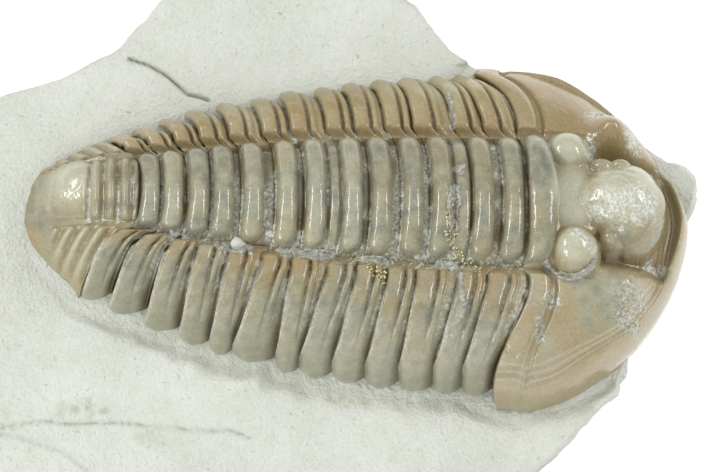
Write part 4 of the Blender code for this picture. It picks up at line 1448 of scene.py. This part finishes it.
# %% Where a line of sight meets the fossil
SHELLS = [thing for thing in bpy.context.scene.objects if thing.name.endswith("_shell")]
bpy.context.view_layer.update()
DEPTHS = bpy.context.evaluated_depsgraph_get()
TREES = [BVHTree.FromObject(thing, DEPTHS) for thing in SHELLS]
ABOVE = 0.05
print("shells that a line of sight can meet:", len(TREES))


def landing(pixel_x, pixel_y):
    """Point of the fossil seen at this pixel, in metres, or None beside it."""
    aside = (pixel_x - PHOTO_CENTRE[0]) * PIXEL * MM
    down = (pixel_y - PHOTO_CENTRE[1]) * PIXEL * MM
    start = AIM + RIGHT * aside - UP * down + BACK * ABOVE
    hits = [tree.ray_cast(start, -BACK) for tree in TREES]
    hits = [hit for hit in hits if hit[0] is not None]
    return min(hits, key=lambda hit: hit[3])[0] if hits else None


def places_along(path, count, spread, chance):
    """Pixels strewn about a path of pixels."""
    stretches = np.array([math.dist(a, b) for a, b in zip(path, path[1:])])
    picks = chance.choice(len(stretches), count, p=stretches / stretches.sum())
    starts = np.array(path[:-1])[picks]
    ends = np.array(path[1:])[picks]
    pixels = mix(starts, ends, chance.random((count, 1))) + chance.normal(0.0, spread, (count, 2))
    return [landing(*pixel) for pixel in pixels]


# %% [markdown]
# ## Small stones
#
# The crystals and the crumb are small stones that sit nearly half in the rock.  They could be
# scattered as instances of one stone, but instances are lost in an export, so all stones of a
# kind are real points in one mesh.  Each one is a ball with every point moved a little, then
# flattened and turned at random.

# %% Many small stones in one mesh
STONE_SIT = 0.15


def stone_shape(detail):
    made = bmesh.new()
    bmesh.ops.create_icosphere(made, subdivisions=detail, radius=1.0)
    corners = np.array([vert.co[:] for vert in made.verts])
    sides = np.array([[vert.index for vert in face.verts] for face in made.faces])
    made.free()
    return corners, sides


def strew(name, places, small, large, seed, finish, detail, flat, jagged):
    """Stones from small to large, in millimetres, with their centres just above these places."""
    chance = np.random.default_rng(seed)
    corners, sides = stone_shape(detail)
    points, faces = [], []
    for place in places:
        size = mix(small, large, chance.random() ** 2)
        turn, _ = np.linalg.qr(chance.normal(size=(3, 3)))
        stone = corners * (1.0 + chance.normal(0.0, jagged, (len(corners), 1)))
        stone = (stone * (1.0, 0.8, flat)) @ turn * size
        if place is not None:
            faces.append(sides + len(corners) * len(points))
            points.append(stone + np.array(place) / MM + np.array(BACK) * size * STONE_SIT)
    faces = np.concatenate(faces).tolist()
    piece = add_piece(name, np.concatenate(points), faces, finish, {})
    return piece


# %% Finishes of the grains
CRUST_DARK = (0.19, 0.195, 0.15)
CRUST_LIGHT = (0.54, 0.55, 0.48)
CRUST_BROWN = (0.27, 0.24, 0.155)
PYRITE_DARK = (0.30, 0.25, 0.11)
PYRITE_BRIGHT = (0.82, 0.76, 0.50)


def make_crust_finish():
    finish, tree, shader, place = new_finish("calcite_crust")
    fine = noise(tree, place, 0.2, 4.0)
    broad = noise(tree, place, 0.9)
    colour = blend_colours(tree, stretch(tree, fine, 0.35, 0.65), CRUST_DARK, CRUST_LIGHT)
    colour = blend_colours(tree, stretch(tree, broad, 0.4, 0.65, 0.0, 0.7), colour, CRUST_BROWN)
    tree.links.new(colour, shader.inputs["Base Color"])
    tree.links.new(stretch(tree, fine, 0.3, 0.7, 0.35, 0.7), shader.inputs["Roughness"])
    shader.inputs["Coat Weight"].default_value = 0.8
    shader.inputs["Coat Roughness"].default_value = 0.1
    raise_bumps(tree, shader, fine, 0.05)
    raise_bumps(tree, shader, fine, 0.05, 1.0, "Coat Normal")
    return finish


def make_pyrite_finish():
    finish, tree, shader, place = new_finish("pyrite")
    fine = noise(tree, place, 0.2, 3.0)
    colour = blend_colours(tree, stretch(tree, fine, 0.3, 0.7), PYRITE_DARK, PYRITE_BRIGHT)
    tree.links.new(colour, shader.inputs["Base Color"])
    tree.links.new(stretch(tree, fine, 0.3, 0.7, 0.2, 0.42), shader.inputs["Roughness"])
    shader.inputs["Metallic"].default_value = 0.85
    raise_bumps(tree, shader, fine, 0.01)
    return finish


CRUST = make_crust_finish()
PYRITE = make_pyrite_finish()
print("finishes so far:", sorted(finish.name for finish in bpy.data.materials))

# %% [markdown]
# ## Ribbons of crust
#
# The crust is calcite and rock that the needle left in the furrows, a thin ragged coat.
# Thousands of grains would give it, but they are heavy and look like gravel.  So it is a thin
# ribbon along each path: its middle stands a little above the shell, its edges dip under it
# where noise says so, and its top is rough.

# %% A ribbon of crust
RIBBON_STEP = 0.9
RIBBON_SINK = 0.06
RIBBON_UNDER = 0.3


def ribbon_pixels(path, half):
    """A grid of pixels that follows a path and reaches this far to either side."""
    path = np.array(path, float)
    run = np.append(0.0, np.cumsum(np.hypot(*np.diff(path, axis=0).T)))
    steps = np.arange(0.0, run[-1], RIBBON_STEP)
    middle = np.stack([np.interp(steps, run, path[:, k]) for k in (0, 1)], -1)
    heading = np.gradient(middle, axis=0)
    heading /= np.linalg.norm(heading, axis=-1, keepdims=True)
    aside = np.stack([-heading[:, 1], heading[:, 0]], -1)
    across = np.linspace(-1.0, 1.0, 2 * int(half / RIBBON_STEP) + 3)
    return middle[:, None] + aside[:, None] * across[None, :, None] * half, across


def smooth_rows(grid):
    padded = np.pad(grid, ((1, 1), (1, 1), (0, 0)), "edge")
    high, wide = grid.shape[:2]
    return sum(padded[i:i + high, j:j + wide] for i in range(3) for j in range(3)) / 9.0


def ribbon(path, half, height, lumps, seed):
    """Top and underside of a ragged crust, as points and faces in millimetres."""
    pixels, across = ribbon_pixels(path, half)
    spots_hit = [landing(*pixel)[:] for pixel in pixels.reshape(-1, 2)]
    ground = np.array(spots_hit).reshape(*pixels.shape[:2], 3) / MM
    broad = ease((rough(ground, lumps, seed) - 0.4) / 0.16)
    ends = ease(1.5 * dome(np.linspace(-1.0, 1.0, len(pixels)))[:, None])
    torn = 0.42 + 1.7 * (rough(ground, 0.8, seed + 3) - 0.5)
    shape = ease(((1.0 - across[None] ** 2) * ends * mix(0.4, 1.0, broad) - torn) / 0.4)
    lift = height * shape * mix(0.4, 1.5, rough(ground, 0.28, seed)) - RIBBON_SINK
    top = smooth_rows(ground) + lift[..., None] * np.array(BACK)
    under = ground - RIBBON_UNDER * np.array(BACK)
    index, faces = grid_faces(*lift.shape)
    rim = np.concatenate([index[0, :-1], index[:-1, -1], index[-1, :0:-1], index[:0:-1, 0]])
    walls = np.stack([rim, np.roll(rim, -1), np.roll(rim, -1) + index.size, rim + index.size], -1)
    below = (np.array(faces)[:, ::-1] + index.size).tolist()
    return np.concatenate([top, under]).reshape(-1, 3), faces + below + walls.tolist()


def lay_crust(name, ribbons):
    points, faces, count = [], [], 0
    for more_points, more_faces in ribbons:
        faces += (np.array(more_faces) + count).tolist()
        points.append(more_points)
        count += len(more_points)
    piece = add_piece(name, np.concatenate(points), faces, CRUST, {})


# %% Crusts and the filled crack
NEAR_FURROW = (
    (150, 232), (181, 238), (226, 246), (271, 252), (316, 255), (361, 260), (406, 264),
    (451, 266), (538, 264),
)
LOBE_CRESCENT = (
    (543, 260), (549, 268), (557, 274), (568, 277), (579, 275), (591, 267), (599, 256),
)
CRACK_AXIS = ((461, 160), (458, 178), (454, 200), (453, 225), (456, 250), (461, 268))
CRACK_NEAR = ((461, 266), (462, 300), (456, 325), (447, 345), (439, 358))
CRACK_FAR = ((449, 88), (452, 108), (453, 134))

# each ribbon: path, half width in pixels, height and lumps in millimetres, seed
lay_crust("furrow_crust", [
    ribbon(NEAR_FURROW, 7.0, 0.28, 1.5, 11),
    ribbon(LOBE_CRESCENT, 5.5, 0.42, 6.0, 12),
])
lay_crust("crack_filling", [
    ribbon(CRACK_AXIS, 8.0, 0.28, 1.0, 14),
    ribbon(CRACK_NEAR, 7.5, 0.28, 1.6, 15),
    ribbon(CRACK_FAR, 3.8, 0.16, 4.0, 16),
])

# %% Pyrite and the crumb of rock
PYRITE_NEST = ((356, 257), (366, 258), (372, 264), (380, 274), (384, 282))
PYRITE_STREAK = ((451, 205), (450, 225), (453, 246), (466, 264), (476, 267))
CRUMB_PIXEL = (239, 244)
CRUMB_SIZE = 0.62
CRYSTAL_SMALL = 0.06
CRYSTAL_LARGE = 0.2

chance = np.random.default_rng(5)
places = places_along(PYRITE_NEST, 80, 3.0, chance)
places += places_along(PYRITE_STREAK, 100, 2.8, chance)
strew(
    "pyrite_grains", places, CRYSTAL_SMALL, CRYSTAL_LARGE, 13, PYRITE,
    detail=1, flat=0.85, jagged=0.26,
)
strew(
    "rock_crumb", [landing(*CRUMB_PIXEL)], CRUMB_SIZE, CRUMB_SIZE, 14, SHALE_FINISH,
    detail=2, flat=0.45, jagged=0.07,
)
